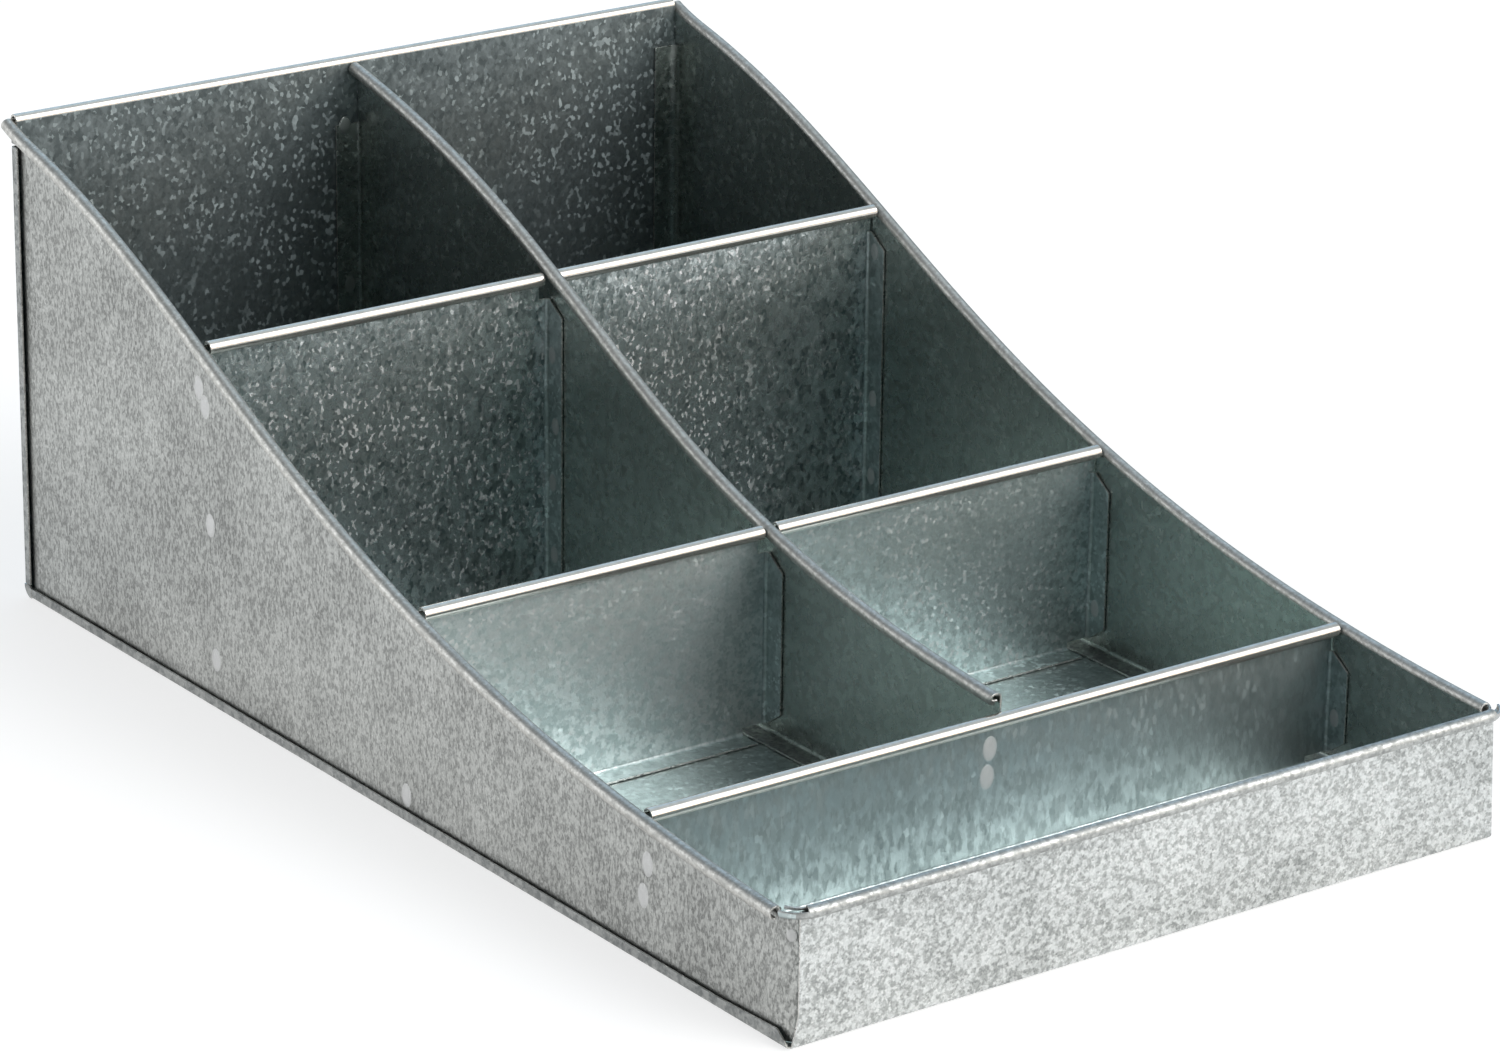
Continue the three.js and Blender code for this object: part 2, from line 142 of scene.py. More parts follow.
class SheetForm:
    """Middle surface of one bent sheet, shaped in millimetres with mesh operators."""

    def __init__(self) -> None:
        """Starts with an empty mesh."""
        self.mesh = bmesh.new()

    def start(self, place: Vector) -> BMVert:
        """Sets the first point of a section."""
        return self.mesh.verts.new(place)

    def run(self, vert: BMVert, offset: Vector) -> BMVert:
        """Draws a straight run of the section.

        Args:
            vert: End of the section so far.
            offset: Way to the new end.

        Returns:
            The new end.
        """
        made = bmesh.ops.extrude_vert_indiv(self.mesh, verts=[vert])["verts"]
        bmesh.ops.translate(self.mesh, vec=offset, verts=made)
        return made[0]

    def arc(self, vert: BMVert, centre: Vector, axis: Vector, degrees: float, steps: int) -> BMVert:
        """Draws a bend of the section on from its end, and gives the new end."""
        made = self.spin([vert], centre, axis, degrees, steps)
        return next(part for part in made if isinstance(part, BMVert))

    def spin(self, parts: list, centre: Vector, axis: Vector, degrees: float, steps: int) -> list:
        """Sweeps vertices or edges about an axis.

        Args:
            parts: What is swept.
            centre: A point of the axis.
            axis: Direction of the axis.
            degrees: How far they are swept.
            steps: Number of steps.

        Returns:
            The swept parts at the end of the way.
        """
        made = bmesh.ops.spin(
            self.mesh,
            geom=parts,
            cent=centre,
            axis=axis,
            dvec=Vector(),
            angle=math.radians(degrees),
            steps=steps,
            use_duplicate=False,
        )
        return made["geom_last"]

    def bend(self, edges: list[BMEdge], centre: Vector, axis: Vector, degrees: float) -> list[BMEdge]:
        """Bends the sheet on from an edge, and gives the edges at the end of the bend."""
        made = self.spin(edges, centre, axis, degrees, STOCK.bend_steps)
        return [part for part in made if isinstance(part, BMEdge)]

    def pull(self, edges: list[BMEdge], offset: Vector) -> list[BMEdge]:
        """Pulls the sheet on from an edge.

        Args:
            edges: Edges to pull from.
            offset: How far they go.

        Returns:
            The pulled edges.
        """
        made = bmesh.ops.extrude_edge_only(self.mesh, edges=edges)["geom"]
        verts = {part for part in made if isinstance(part, BMVert)}
        bmesh.ops.translate(self.mesh, vec=offset, verts=list(verts))
        return [part for part in made if isinstance(part, BMEdge) and verts.issuperset(part.verts)]

    def slice(self, normal: Vector, *places: float) -> None:
        """Adds rows of edges where planes cross the sheet.

        Args:
            normal: Axis that the planes are square to.
            places: Where they cross that axis.
        """
        for place in places:
            geom = [*self.mesh.verts, *self.mesh.edges, *self.mesh.faces]
            bmesh.ops.bisect_plane(
                self.mesh, geom=geom, dist=NEAR, plane_co=normal * place, plane_no=normal
            )

    def drop(self, test: Test) -> None:
        """Cuts away the faces whose middle passes a test."""
        faces = [face for face in self.mesh.faces if test(face.calc_center_median())]
        bmesh.ops.delete(self.mesh, geom=faces, context="FACES")

    def border(self, test: Test) -> list[BMEdge]:
        """Gives the free edges whose two ends both pass a test."""
        free = (edge for edge in self.mesh.edges if edge.is_boundary)
        return [edge for edge in free if all(test(vert.co) for vert in edge.verts)]

    def verts_where(self, test: Test) -> list[BMVert]:
        """Gives the vertices that pass a test."""
        return [vert for vert in self.mesh.verts if test(vert.co)]

    def shift(self, verts: list[BMVert], offset: Vector) -> None:
        """Moves vertices."""
        bmesh.ops.translate(self.mesh, vec=offset, verts=verts)

    def region(self, region: Region, test: Test) -> None:
        """Gives the faces whose middle passes a test to a region.

        Args:
            region: The region.
            test: The test.
        """
        for face in self.mesh.faces:
            if test(face.calc_center_median()):
                face.material_index = region.value

    def roll_edge(self, verts: list[BMVert], away: Vector, bead: float) -> None:
        """Rolls a curved top edge of an upright panel that stands along Y.

        Args:
            verts: The edge's vertices from front to back.
            away: Side that the edge is rolled to.
            bead: Outer diameter of the rolled edge.
        """
        radius = STOCK.roll_radius(bead)
        last = len(verts) - 1
        tangents = [verts[min(i + 1, last)].co - verts[max(i - 1, 0)].co for i in range(len(verts))]
        centres = [vert.co + away * radius for vert in verts]
        step = math.radians(STOCK.roll_degrees / STOCK.roll_steps) * (1 if away.x > 0 else -1)
        turns = [Matrix.Rotation(step, 3, tangent) for tangent in tangents]
        for _ in range(STOCK.roll_steps):
            edges = [self.mesh.edges.get(pair) for pair in zip(verts, verts[1:])]
            made = bmesh.ops.extrude_edge_only(self.mesh, edges=edges)["geom"]
            fresh = {part for part in made if isinstance(part, BMVert)}
            verts = [
                next(edge.other_vert(vert) for edge in vert.link_edges if edge.other_vert(vert) in fresh)
                for vert in verts
            ]
            for vert, centre, turn in zip(verts, centres, turns):
                bmesh.ops.rotate(self.mesh, cent=centre, matrix=turn, verts=[vert])
            for face in (part for part in made if isinstance(part, BMFace)):
                face.material_index = Region.BEAD.value

    def finish(self, name: str, facing: Vector, finishes: list["Finish"]) -> bpy.types.Object:
        """Turns the middle surface into a piece with its thickness and its finishes.

        Args:
            name: Name of the piece.
            facing: Way that the outer side of its largest face looks.
            finishes: Three finishes for each region: outer side, inner side and cut edge.

        Returns:
            The finished object.
        """
        bmesh.ops.remove_doubles(self.mesh, verts=self.mesh.verts, dist=MERGE)
        faces = list(self.mesh.faces)
        bmesh.ops.recalc_face_normals(self.mesh, faces=faces)
        largest = max(faces, key=lambda face: face.calc_area() * abs(face.normal.dot(facing)))
        if largest.normal.dot(facing) < 0:
            bmesh.ops.reverse_faces(self.mesh, faces=faces)
        for face in faces:
            face.smooth = True
        piece = as_object(self.mesh, name, [finish.material() for finish in finishes])

        wall = piece.modifiers.new("thickness", "SOLIDIFY")
        wall.thickness = STOCK.thickness * MM
        wall.offset = 0
        wall.use_even_offset = True
        wall.material_offset = 1
        wall.material_offset_rim = 2
        rounding = piece.modifiers.new("edge rounding", "BEVEL")
        rounding.width = STOCK.edge_round * MM
        rounding.segments = STOCK.edge_steps
        rounding.limit_method = "ANGLE"
        rounding.angle_limit = math.radians(STOCK.edge_angle)
        rounding.material = -1
        shading = piece.modifiers.new("flat panels", "WEIGHTED_NORMAL")
        shading.keep_sharp = True
        return piece


def as_object(mesh: BMesh, name: str, materials: list[bpy.types.Material]) -> bpy.types.Object:
    """Makes an object in metres from a mesh in millimetres, and frees the mesh.

    Args:
        mesh: The mesh.
        name: Name of the object.
        materials: Its materials in the order of its slots.

    Returns:
        The object, at the origin.
    """
    bmesh.ops.scale(mesh, vec=Vector((MM, MM, MM)), verts=mesh.verts)
    data = bpy.data.meshes.new(name)
    mesh.to_mesh(data)
    mesh.free()
    for material in materials:
        data.materials.append(material)
    made = bpy.data.objects.new(name, data)
    bpy.context.scene.collection.objects.link(made)
    return made


class Graph:
    """Short way to add and join the nodes of a material or a node group."""

    mix_first, mix_second, mix_result = 6, 7, 2  # the colour sockets of a Mix node

    def __init__(self, tree: bpy.types.NodeTree) -> None:
        """Works on that tree."""
        self.tree = tree

    def add(self, kind: str, **settings: object) -> bpy.types.Node:
        """Adds a node.

        Args:
            kind: Kind of the node.
            settings: Values for its properties.

        Returns:
            The node.
        """
        node = self.tree.nodes.new(kind)
        for name, value in settings.items():
            setattr(node, name, value)
        return node

    def feed(self, socket: bpy.types.NodeSocket, value: object) -> None:
        """Joins an output to a socket, or sets the socket to a plain value.

        Args:
            socket: The socket.
            value: The output or the plain value.
        """
        if isinstance(value, bpy.types.NodeSocket):
            self.tree.links.new(value, socket)
        else:
            socket.default_value = value

    def maths(self, operation: str, *values: object) -> bpy.types.NodeSocket:
        """Works out a number from one, two or three others.

        Args:
            operation: What is worked out.
            values: Outputs or plain numbers.

        Returns:
            The number's output.
        """
        node = self.add("ShaderNodeMath", operation=operation)
        for socket, value in zip(node.inputs, values):
            self.feed(socket, value)
        return node.outputs[0]

    def vector(self, operation: str, first: object, second: object = (0, 0, 0)) -> bpy.types.NodeSocket:
        """Works out a vector from one or two others.

        Args:
            operation: What is worked out.
            first: Output or plain vector.
            second: Output or plain vector.

        Returns:
            The vector's output.
        """
        node = self.add("ShaderNodeVectorMath", operation=operation)
        self.feed(node.inputs[0], first)
        self.feed(node.inputs[1], second)
        return node.outputs[0]

    def stretch(self, vector: object, scale: object) -> bpy.types.NodeSocket:
        """Scales a vector by a number.

        Args:
            vector: Output or plain vector.
            scale: Output or plain number.

        Returns:
            The scaled vector's output.
        """
        node = self.add("ShaderNodeVectorMath", operation="SCALE")
        self.feed(node.inputs[0], vector)
        self.feed(node.inputs["Scale"], scale)
        return node.outputs[0]

    def spread(
        self, value: object, low: float, high: float, to_low: float = 0.0, to_high: float = 1.0
    ) -> bpy.types.NodeSocket:
        """Maps a number smoothly from one range to another, and holds it inside that.

        Args:
            value: The number's output.
            low: Start of its range.
            high: End of its range.
            to_low: What the start becomes.
            to_high: What the end becomes.

        Returns:
            The mapped number's output.
        """
        node = self.add("ShaderNodeMapRange", interpolation_type="SMOOTHSTEP")
        for socket, part in zip(node.inputs, (value, low, high, to_low, to_high)):
            self.feed(socket, part)
        return node.outputs["Result"]

    def blend(self, amount: object, first: object, second: object) -> bpy.types.NodeSocket:
        """Mixes two colours.

        Args:
            amount: Share of the second colour.
            first: Output or plain colour.
            second: Output or plain colour.

        Returns:
            The mixed colour's output.
        """
        node = self.add("ShaderNodeMix", data_type="RGBA")
        self.feed(node.inputs["Factor"], amount)
        self.feed(node.inputs[self.mix_first], first)
        self.feed(node.inputs[self.mix_second], second)
        return node.outputs[self.mix_result]

    def noise(self, vector: object, scale: object, detail: float = 2.0) -> bpy.types.NodeSocket:
        """Gives a soft noise.

        Args:
            vector: Place on the surface.
            scale: Number of waves to a metre.
            detail: Number of finer layers.

        Returns:
            The noise's output.
        """
        node = self.add("ShaderNodeTexNoise")
        self.feed(node.inputs["Vector"], vector)
        self.feed(node.inputs["Scale"], scale)
        node.inputs["Detail"].default_value = detail
        return node.outputs["Fac"]


class Effects:
    """Shader node groups that several finishes use, each made once.

    Scales of the crystals' warp and patches are shares of the crystals' own number to a metre.
    """

    made: dict[str, bpy.types.NodeTree] = {}
    warp_scale = 1.3
    raggedness = 0.7
    patch_scale = 0.42
    patch_detail = 6.0
    patch_edge = (0.42, 0.58)
    patch_share = 0.55
    fleck_edge = (0.82, 0.88)
    fleck_tilt = 1.5
    wide_clouds = 14.0
    close_clouds = 55.0
    close_detail = 4.0
    wide_share = 0.6
    cloud_edge = (0.3, 0.7)
    waves = 9.0
    wave_detail = 1.0

    @classmethod
    def group(
        cls, name: str, inputs: dict[str, float | None], outputs: dict[str, str]
    ) -> tuple[Graph, bpy.types.Node, bpy.types.Node]:
        """Starts a node group.

        Args:
            name: Name of the group.
            inputs: Its inputs, each with a default: a number, or None for a vector.
            outputs: Its outputs, each with its socket kind.

        Returns:
            The graph, the group's input node and its output node.
        """
        tree = bpy.data.node_groups.new(name, "ShaderNodeTree")
        for title, default in inputs.items():
            kind = "NodeSocketVector" if default is None else "NodeSocketFloat"
            socket = tree.interface.new_socket(title, in_out="INPUT", socket_type=kind)
            if default is not None:
                socket.default_value = default
        for title, kind in outputs.items():
            tree.interface.new_socket(title, in_out="OUTPUT", socket_type=kind)
        graph = Graph(tree)
        cls.made[name] = tree
        return graph, graph.add("NodeGroupInput"), graph.add("NodeGroupOutput")

    @classmethod
    def spangle(cls) -> bpy.types.NodeTree:
        """Gives the zinc crystals: a tone, bright flecks and a tilted normal for each crystal.

        Returns:
            The node group.
        """
        name = "zinc spangle"
        if name in cls.made:
            return cls.made[name]
        graph, given, out = cls.group(
            name,
            {"Vector": None, "Crystals": Finish.crystals, "Tilt": Finish.tilt},
            {"Tone": "NodeSocketFloat", "Fleck": "NodeSocketFloat", "Normal": "NodeSocketVector"},
        )
        place, crystals = given.outputs["Vector"], given.outputs["Crystals"]
        warp = graph.add("ShaderNodeTexNoise")
        graph.feed(warp.inputs["Vector"], place)
        graph.feed(warp.inputs["Scale"], graph.maths("MULTIPLY", crystals, cls.warp_scale))
        ragged = graph.vector("SUBTRACT", warp.outputs["Color"], MID_GREY)
        reach = graph.maths("DIVIDE", cls.raggedness, crystals)
        warped = graph.vector("ADD", place, graph.stretch(ragged, reach))
        cells = graph.add("ShaderNodeTexVoronoi")
        graph.feed(cells.inputs["Vector"], warped)
        graph.feed(cells.inputs["Scale"], crystals)
        chance = graph.add("ShaderNodeSeparateColor")
        graph.feed(chance.inputs[0], cells.outputs["Color"])

        patch_count = graph.maths("MULTIPLY", crystals, cls.patch_scale)
        patches = graph.noise(warped, patch_count, cls.patch_detail)
        crisp = graph.maths("MULTIPLY", graph.spread(patches, *cls.patch_edge), cls.patch_share)
        mixed = graph.maths("MULTIPLY_ADD", chance.outputs[0], 1.0 - cls.patch_share, crisp)
        graph.feed(out.inputs["Tone"], mixed)
        fleck = graph.spread(chance.outputs[1], *cls.fleck_edge)
        graph.feed(out.inputs["Fleck"], fleck)

        leaning = graph.vector("SUBTRACT", cells.outputs["Color"], MID_GREY)
        steeper = graph.maths("MULTIPLY_ADD", fleck, cls.fleck_tilt, 1.0)
        amount = graph.maths("MULTIPLY", given.outputs["Tilt"], steeper)
        face = graph.add("ShaderNodeNewGeometry")
        tilted = graph.vector("ADD", face.outputs["Normal"], graph.stretch(leaning, amount))
        graph.feed(out.inputs["Normal"], graph.vector("NORMALIZE", tilted))
        return cls.made[name]

    @classmethod
    def patina(cls) -> bpy.types.NodeTree:
        """Gives the slow clouds of a handled sheet, and its slight waviness as a height.

        Returns:
            The node group.
        """
        name = "sheet patina"
        if name in cls.made:
            return cls.made[name]
        graph, given, out = cls.group(
            name, {"Vector": None}, {"Cloud": "NodeSocketFloat", "Wave": "NodeSocketFloat"}
        )
        place = given.outputs["Vector"]
        wide = graph.noise(place, cls.wide_clouds)
        close = graph.noise(place, cls.close_clouds, cls.close_detail)
        close = graph.maths("MULTIPLY", close, 1.0 - cls.wide_share)
        cloud = graph.maths("MULTIPLY_ADD", wide, cls.wide_share, close)
        graph.feed(out.inputs["Cloud"], graph.spread(cloud, *cls.cloud_edge))
        graph.feed(out.inputs["Wave"], graph.noise(place, cls.waves, cls.wave_detail))
        return cls.made[name]


@dataclass(frozen=True)
class Finish:
    """Zinc finish of one side or stretch of a sheet.

    Attributes:
        name: Name of the material.
        dark: Colour of the darkest crystals.
        light: Colour of the lightest crystals.
        crystals: Number of crystals to a metre.
        upright: Scale of the pattern along Z; below 1 the crystals are taller.
        tilt: How far the crystals' faces lean.
        flecks: Strength of the bright flecks.
        smooth: Roughness of the lightest crystals.
        rough: Roughness of the darkest crystals.
        wave: Height of the sheet's slow waves, in metres.
        relief: Height of the crystals as a share of the waves.
        metal: How metallic the bare zinc is.
        clouds: Share of the slow clouds in the tone.
        weld: Colour of a weld mark.
        weld_rough: Roughness that a weld mark adds.
        weld_dull: What a weld mark takes off the metallic value.
        fleck_dull: What a fleck takes off the metallic value.
    """

    fleck_light: ClassVar[float] = 1.35
    fleck_share: ClassVar[float] = 1.6
    tone_range: ClassVar[tuple[float, float]] = (0.1, 0.9)

    name: str
    dark: Colour
    light: Colour
    crystals: float = 320.0
    upright: float = 1.0
    tilt: float = 0.2
    flecks: float = 0.3
    smooth: float = 0.3
    rough: float = 0.46
    wave: float = 0.0006
    relief: float = 0.05
    metal: float = 1.0
    clouds: float = 0.24
    weld: Colour = (0.62, 0.64, 0.64)
    weld_rough: float = 0.2
    weld_dull: float = 0.4
    fleck_dull: float = 0.4

    def material(self) -> bpy.types.Material:
        """Gives the material, which is made on first use."""
        return bpy.data.materials.get(self.name) or self.make()

    def make(self) -> bpy.types.Material:
        """Makes the material from the shared effects.

        Returns:
            The material.
        """
        material = bpy.data.materials.new(self.name)
        material.use_nodes = True
        graph = Graph(material.node_tree)
        shader = material.node_tree.nodes["Principled BSDF"]
        place = graph.add("ShaderNodeTexCoord").outputs["Object"]
        mapping = graph.add("ShaderNodeMapping")
        graph.feed(mapping.inputs["Vector"], place)
        mapping.inputs["Scale"].default_value = (1, 1, self.upright)
        spangle = graph.add("ShaderNodeGroup", node_tree=Effects.spangle())
        graph.feed(spangle.inputs["Vector"], mapping.outputs[0])
        spangle.inputs["Crystals"].default_value = self.crystals
        spangle.inputs["Tilt"].default_value = self.tilt
        patina = graph.add("ShaderNodeGroup", node_tree=Effects.patina())
        graph.feed(patina.inputs["Vector"], place)

        clouds = graph.maths("MULTIPLY", patina.outputs["Cloud"], self.clouds)
        cloudy = graph.maths("MULTIPLY_ADD", spangle.outputs["Tone"], 1.0 - self.clouds, clouds)
        colour = graph.blend(cloudy, (*self.dark, 1), (*self.light, 1))
        bright = tuple(min(1.0, part * self.fleck_light) for part in self.light)
        clustered = graph.maths("MULTIPLY", spangle.outputs["Fleck"], patina.outputs["Cloud"])
        fleck = graph.maths("MULTIPLY", clustered, self.flecks * self.fleck_share)
        colour = graph.blend(fleck, colour, (*bright, 1))
        mark = graph.add("ShaderNodeAttribute", attribute_name="weld").outputs["Fac"]
        colour = graph.blend(mark, colour, (*self.weld, 1))
        graph.feed(shader.inputs["Base Color"], colour)
        rough = graph.spread(spangle.outputs["Tone"], *self.tone_range, self.rough, self.smooth)
        rough = graph.maths("MULTIPLY_ADD", mark, self.weld_rough, rough)
        graph.feed(shader.inputs["Roughness"], rough)
        metal = graph.maths("MULTIPLY_ADD", fleck, -self.fleck_dull, self.metal)
        metal = graph.maths("MULTIPLY_ADD", mark, -self.weld_dull, metal)
        graph.feed(shader.inputs["Metallic"], metal)
        bump = graph.add("ShaderNodeBump")
        bump.inputs["Distance"].default_value = self.wave
        height = graph.maths("MULTIPLY_ADD", spangle.outputs["Tone"], self.relief, patina.outputs["Wave"])
        graph.feed(bump.inputs["Height"], height)
        graph.feed(bump.inputs["Normal"], spangle.outputs["Normal"])
        graph.feed(shader.inputs["Normal"], bump.outputs["Normal"])
        return material


COARSE = Finish(
    "coarse_zinc", dark=(0.25, 0.265, 0.26), light=(0.86, 0.885, 0.875), crystals=1500.0, tilt=0.08,
    smooth=0.3, rough=0.42,
)
BIN = Finish(
    "bin_zinc", dark=(0.14, 0.19, 0.19), light=(0.92, 1.0, 1.0), crystals=900.0, upright=0.75, tilt=0.06,
    flecks=0.55, smooth=0.22, rough=0.33, metal=0.95, clouds=0.12,
)
FLOOR_BIN = Finish(
    "floor_bin_zinc", dark=(0.36, 0.415, 0.415), light=(0.62, 0.7, 0.7), crystals=800.0, tilt=0.05,
    flecks=0.6, smooth=0.32, rough=0.42,
)
# Painted shade: the inside of the back is the same side of the wrap sheet as FLOOR_BIN, given a far darker
# tone to stand in for the shade deep in the rear bins.
SHADED_BACK_BIN = Finish(
    "shaded_back_bin_zinc", dark=(0.11, 0.135, 0.14), light=(0.31, 0.36, 0.37), crystals=780.0, upright=0.8,
    tilt=0.06, flecks=1.0, smooth=0.4, rough=0.5, metal=0.97,
)
# Painted light: paler copies of the bin zinc for the middle dividers; their raised tone, highest on the
# left divider, stands in for the light that falls into the middle bins.
LIT_BIN = Finish(
    "lit_bin_zinc", dark=(0.43, 0.53, 0.53), light=(0.93, 1.0, 1.0), crystals=900.0, tilt=0.07,
    flecks=0.35, smooth=0.36, rough=0.48, metal=0.85, clouds=0.14,
)
HALF_LIT_BIN = Finish(
    "half_lit_bin_zinc", dark=(0.3, 0.38, 0.38), light=(0.85, 0.98, 0.98), crystals=860.0, tilt=0.07,
    flecks=0.3, smooth=0.32, rough=0.44, metal=0.91, clouds=0.16,
)
GREY_BIN = Finish(
    "grey_bin_zinc", dark=(0.33, 0.385, 0.385), light=(0.62, 0.69, 0.69), crystals=760.0, upright=0.5,
    tilt=0.05, flecks=0.2, smooth=0.36, rough=0.48, metal=0.95,
)
# Painted shade: the finer-grained sheet of the side panels, with its tone set darker than the front's to
# stand in for the shade on the side faces.
SHADED_SATIN = Finish(
    "shaded_satin_zinc", dark=(0.175, 0.179, 0.172), light=(0.56, 0.57, 0.55), crystals=2300.0, upright=0.55,
    tilt=0.1, weld=(0.77, 0.77, 0.76),
)
SATIN_BIN = Finish(
    "satin_bin_zinc", dark=(0.36, 0.4, 0.38), light=(0.5, 0.55, 0.52), crystals=600.0, tilt=0.04,
    smooth=0.22, rough=0.3, weld=(0.46, 0.49, 0.48), weld_rough=0.1, weld_dull=0.04,
)
ROLLED = Finish(
    "rolled_zinc", dark=(0.56, 0.54, 0.5), light=(0.68, 0.66, 0.62), crystals=900.0, tilt=0.008,
    flecks=0.0, smooth=0.12, rough=0.17, relief=0.0, metal=0.84,
)
HEMMED = Finish(
    "front_hem_zinc", dark=(0.3, 0.31, 0.305), light=(0.6, 0.615, 0.605), crystals=1200.0, tilt=0.06,
    flecks=0.1, smooth=0.44, rough=0.56,
)
SATIN_ROLLED = Finish(
    "rolled_satin_zinc", dark=(0.4, 0.4, 0.38), light=(0.62, 0.615, 0.585), crystals=1400.0, tilt=0.03,
    smooth=0.42, rough=0.52,
)
# Painted shade: the lips and floor flanges are given a dark tone that stands in for the shade along the
# seams at the floor.
SHADED_LIP = Finish("shaded_lip_zinc", dark=(0.2, 0.21, 0.21), light=(0.4, 0.41, 0.4), crystals=900.0, rough=0.55)
CUT = Finish("cut_edge", dark=(0.45, 0.45, 0.43), light=(0.75, 0.74, 0.71), crystals=1500.0, smooth=0.25)


@dataclass(frozen=True)
class OgeeLine:
    """Top edge of an upright panel along Y: a front point and a back point, each with reach and slope."""

    front: tuple[float, float]
    back: tuple[float, float]
    front_pull: tuple[float, float]
    back_pull: tuple[float, float]
    steps: int = 76

    def points(self, x: float) -> list[Vector]:
        """Gives the line's points in an upright plane.

        Args:
            x: Where the plane is.

        Returns:
            The points from front to back.
        """
        (front_y, front_z), (back_y, back_z) = self.front, self.back
        (front_reach, front_slope), (back_reach, back_slope) = self.front_pull, self.back_pull
        return geometry.interpolate_bezier(
            Vector((x, front_y, front_z)),
            Vector((x, front_y + front_reach, front_z + front_reach * front_slope)),
            Vector((x, back_y - back_reach, back_z - back_reach * back_slope)),
            Vector((x, back_y, back_z)),
            self.steps,
        )

    def height_at(self, y: float) -> float:
        """Gives the height of the line at one place.

        Args:
            y: The place.

        Returns:
            The height.
        """
        points = self.points(0)
        before, after = next(pair for pair in zip(points, points[1:]) if pair[1].y >= y)
        return before.z + (after.z - before.z) * (y - before.y) / (after.y - before.y)


@dataclass(frozen=True)
class Places:
    """Faces and heights that the pieces share, read from the frame, in millimetres."""

    side_x: float
    front_y: float
    back_y: float
    back_height: float
    front_height: float = 43.6

    @property
    def corner_y(self) -> float:
        """Where the side panels start to bend into the front."""
        return self.front_y + STOCK.lift + STOCK.corner_bend

    @classmethod
    def from_frame(cls, side_bead: float, front_bead: float) -> "Places":
        """Reads the places from the frame.

        Args:
            side_bead: Outer diameter of the side panels' beads.
            front_bead: Outer diameter of the front bead.

        Returns:
            The places.
        """
        side_low, side_high = frame_box("left_side_panel")
        wrap_low, wrap_high = frame_box("wrap_sheet")
        return cls(
            side_x=STOCK.thickness - side_bead - side_low.x,
            front_y=wrap_low.y + front_bead - STOCK.thickness,
            back_y=side_high.y,
            back_height=wrap_high.z,
        )


@dataclass(frozen=True)
class TopLines:
    """Ogee top edges of the side panels and of the partition, with drops from the front and back tops."""

    places: Places
    side_front_drop: float = 4.0
    side_front_pull: tuple[float, float] = (246.0, 0.047)
    side_back_drop: float = 4.7
    side_back_pull: tuple[float, float] = (129.0, 0.192)
    side_overrun: float = 2.0
    partition_rise: float = 5.5
    partition_front_pull: tuple[float, float] = (193.0, 0.07)
    partition_back_drop: float = 4.0
    partition_back_pull: tuple[float, float] = (153.0, 0.205)

    def sides(self) -> OgeeLine:
        """Gives the side panels' line, which runs on past the back.

        Returns:
            The line.
        """
        at = self.places
        return OgeeLine(
            front=(at.corner_y, at.front_height - self.side_front_drop),
            back=(at.back_y + self.side_overrun, at.back_height - self.side_back_drop),
            front_pull=self.side_front_pull,
            back_pull=self.side_back_pull,
        )

    def partition(self, front_y: float) -> OgeeLine:
        """Gives the partition's line, which starts above the front divider.

        Args:
            front_y: Back face of the front divider.

        Returns:
            The line.
        """
        at = self.places
        back_y = at.back_y - STOCK.thickness - STOCK.seam
        return OgeeLine(
            front=(front_y + STOCK.bead_clearance, self.sides().height_at(front_y) + self.partition_rise),
            back=(back_y, at.back_height - self.partition_back_drop),
            front_pull=self.partition_front_pull,
            back_pull=self.partition_back_pull,
        )


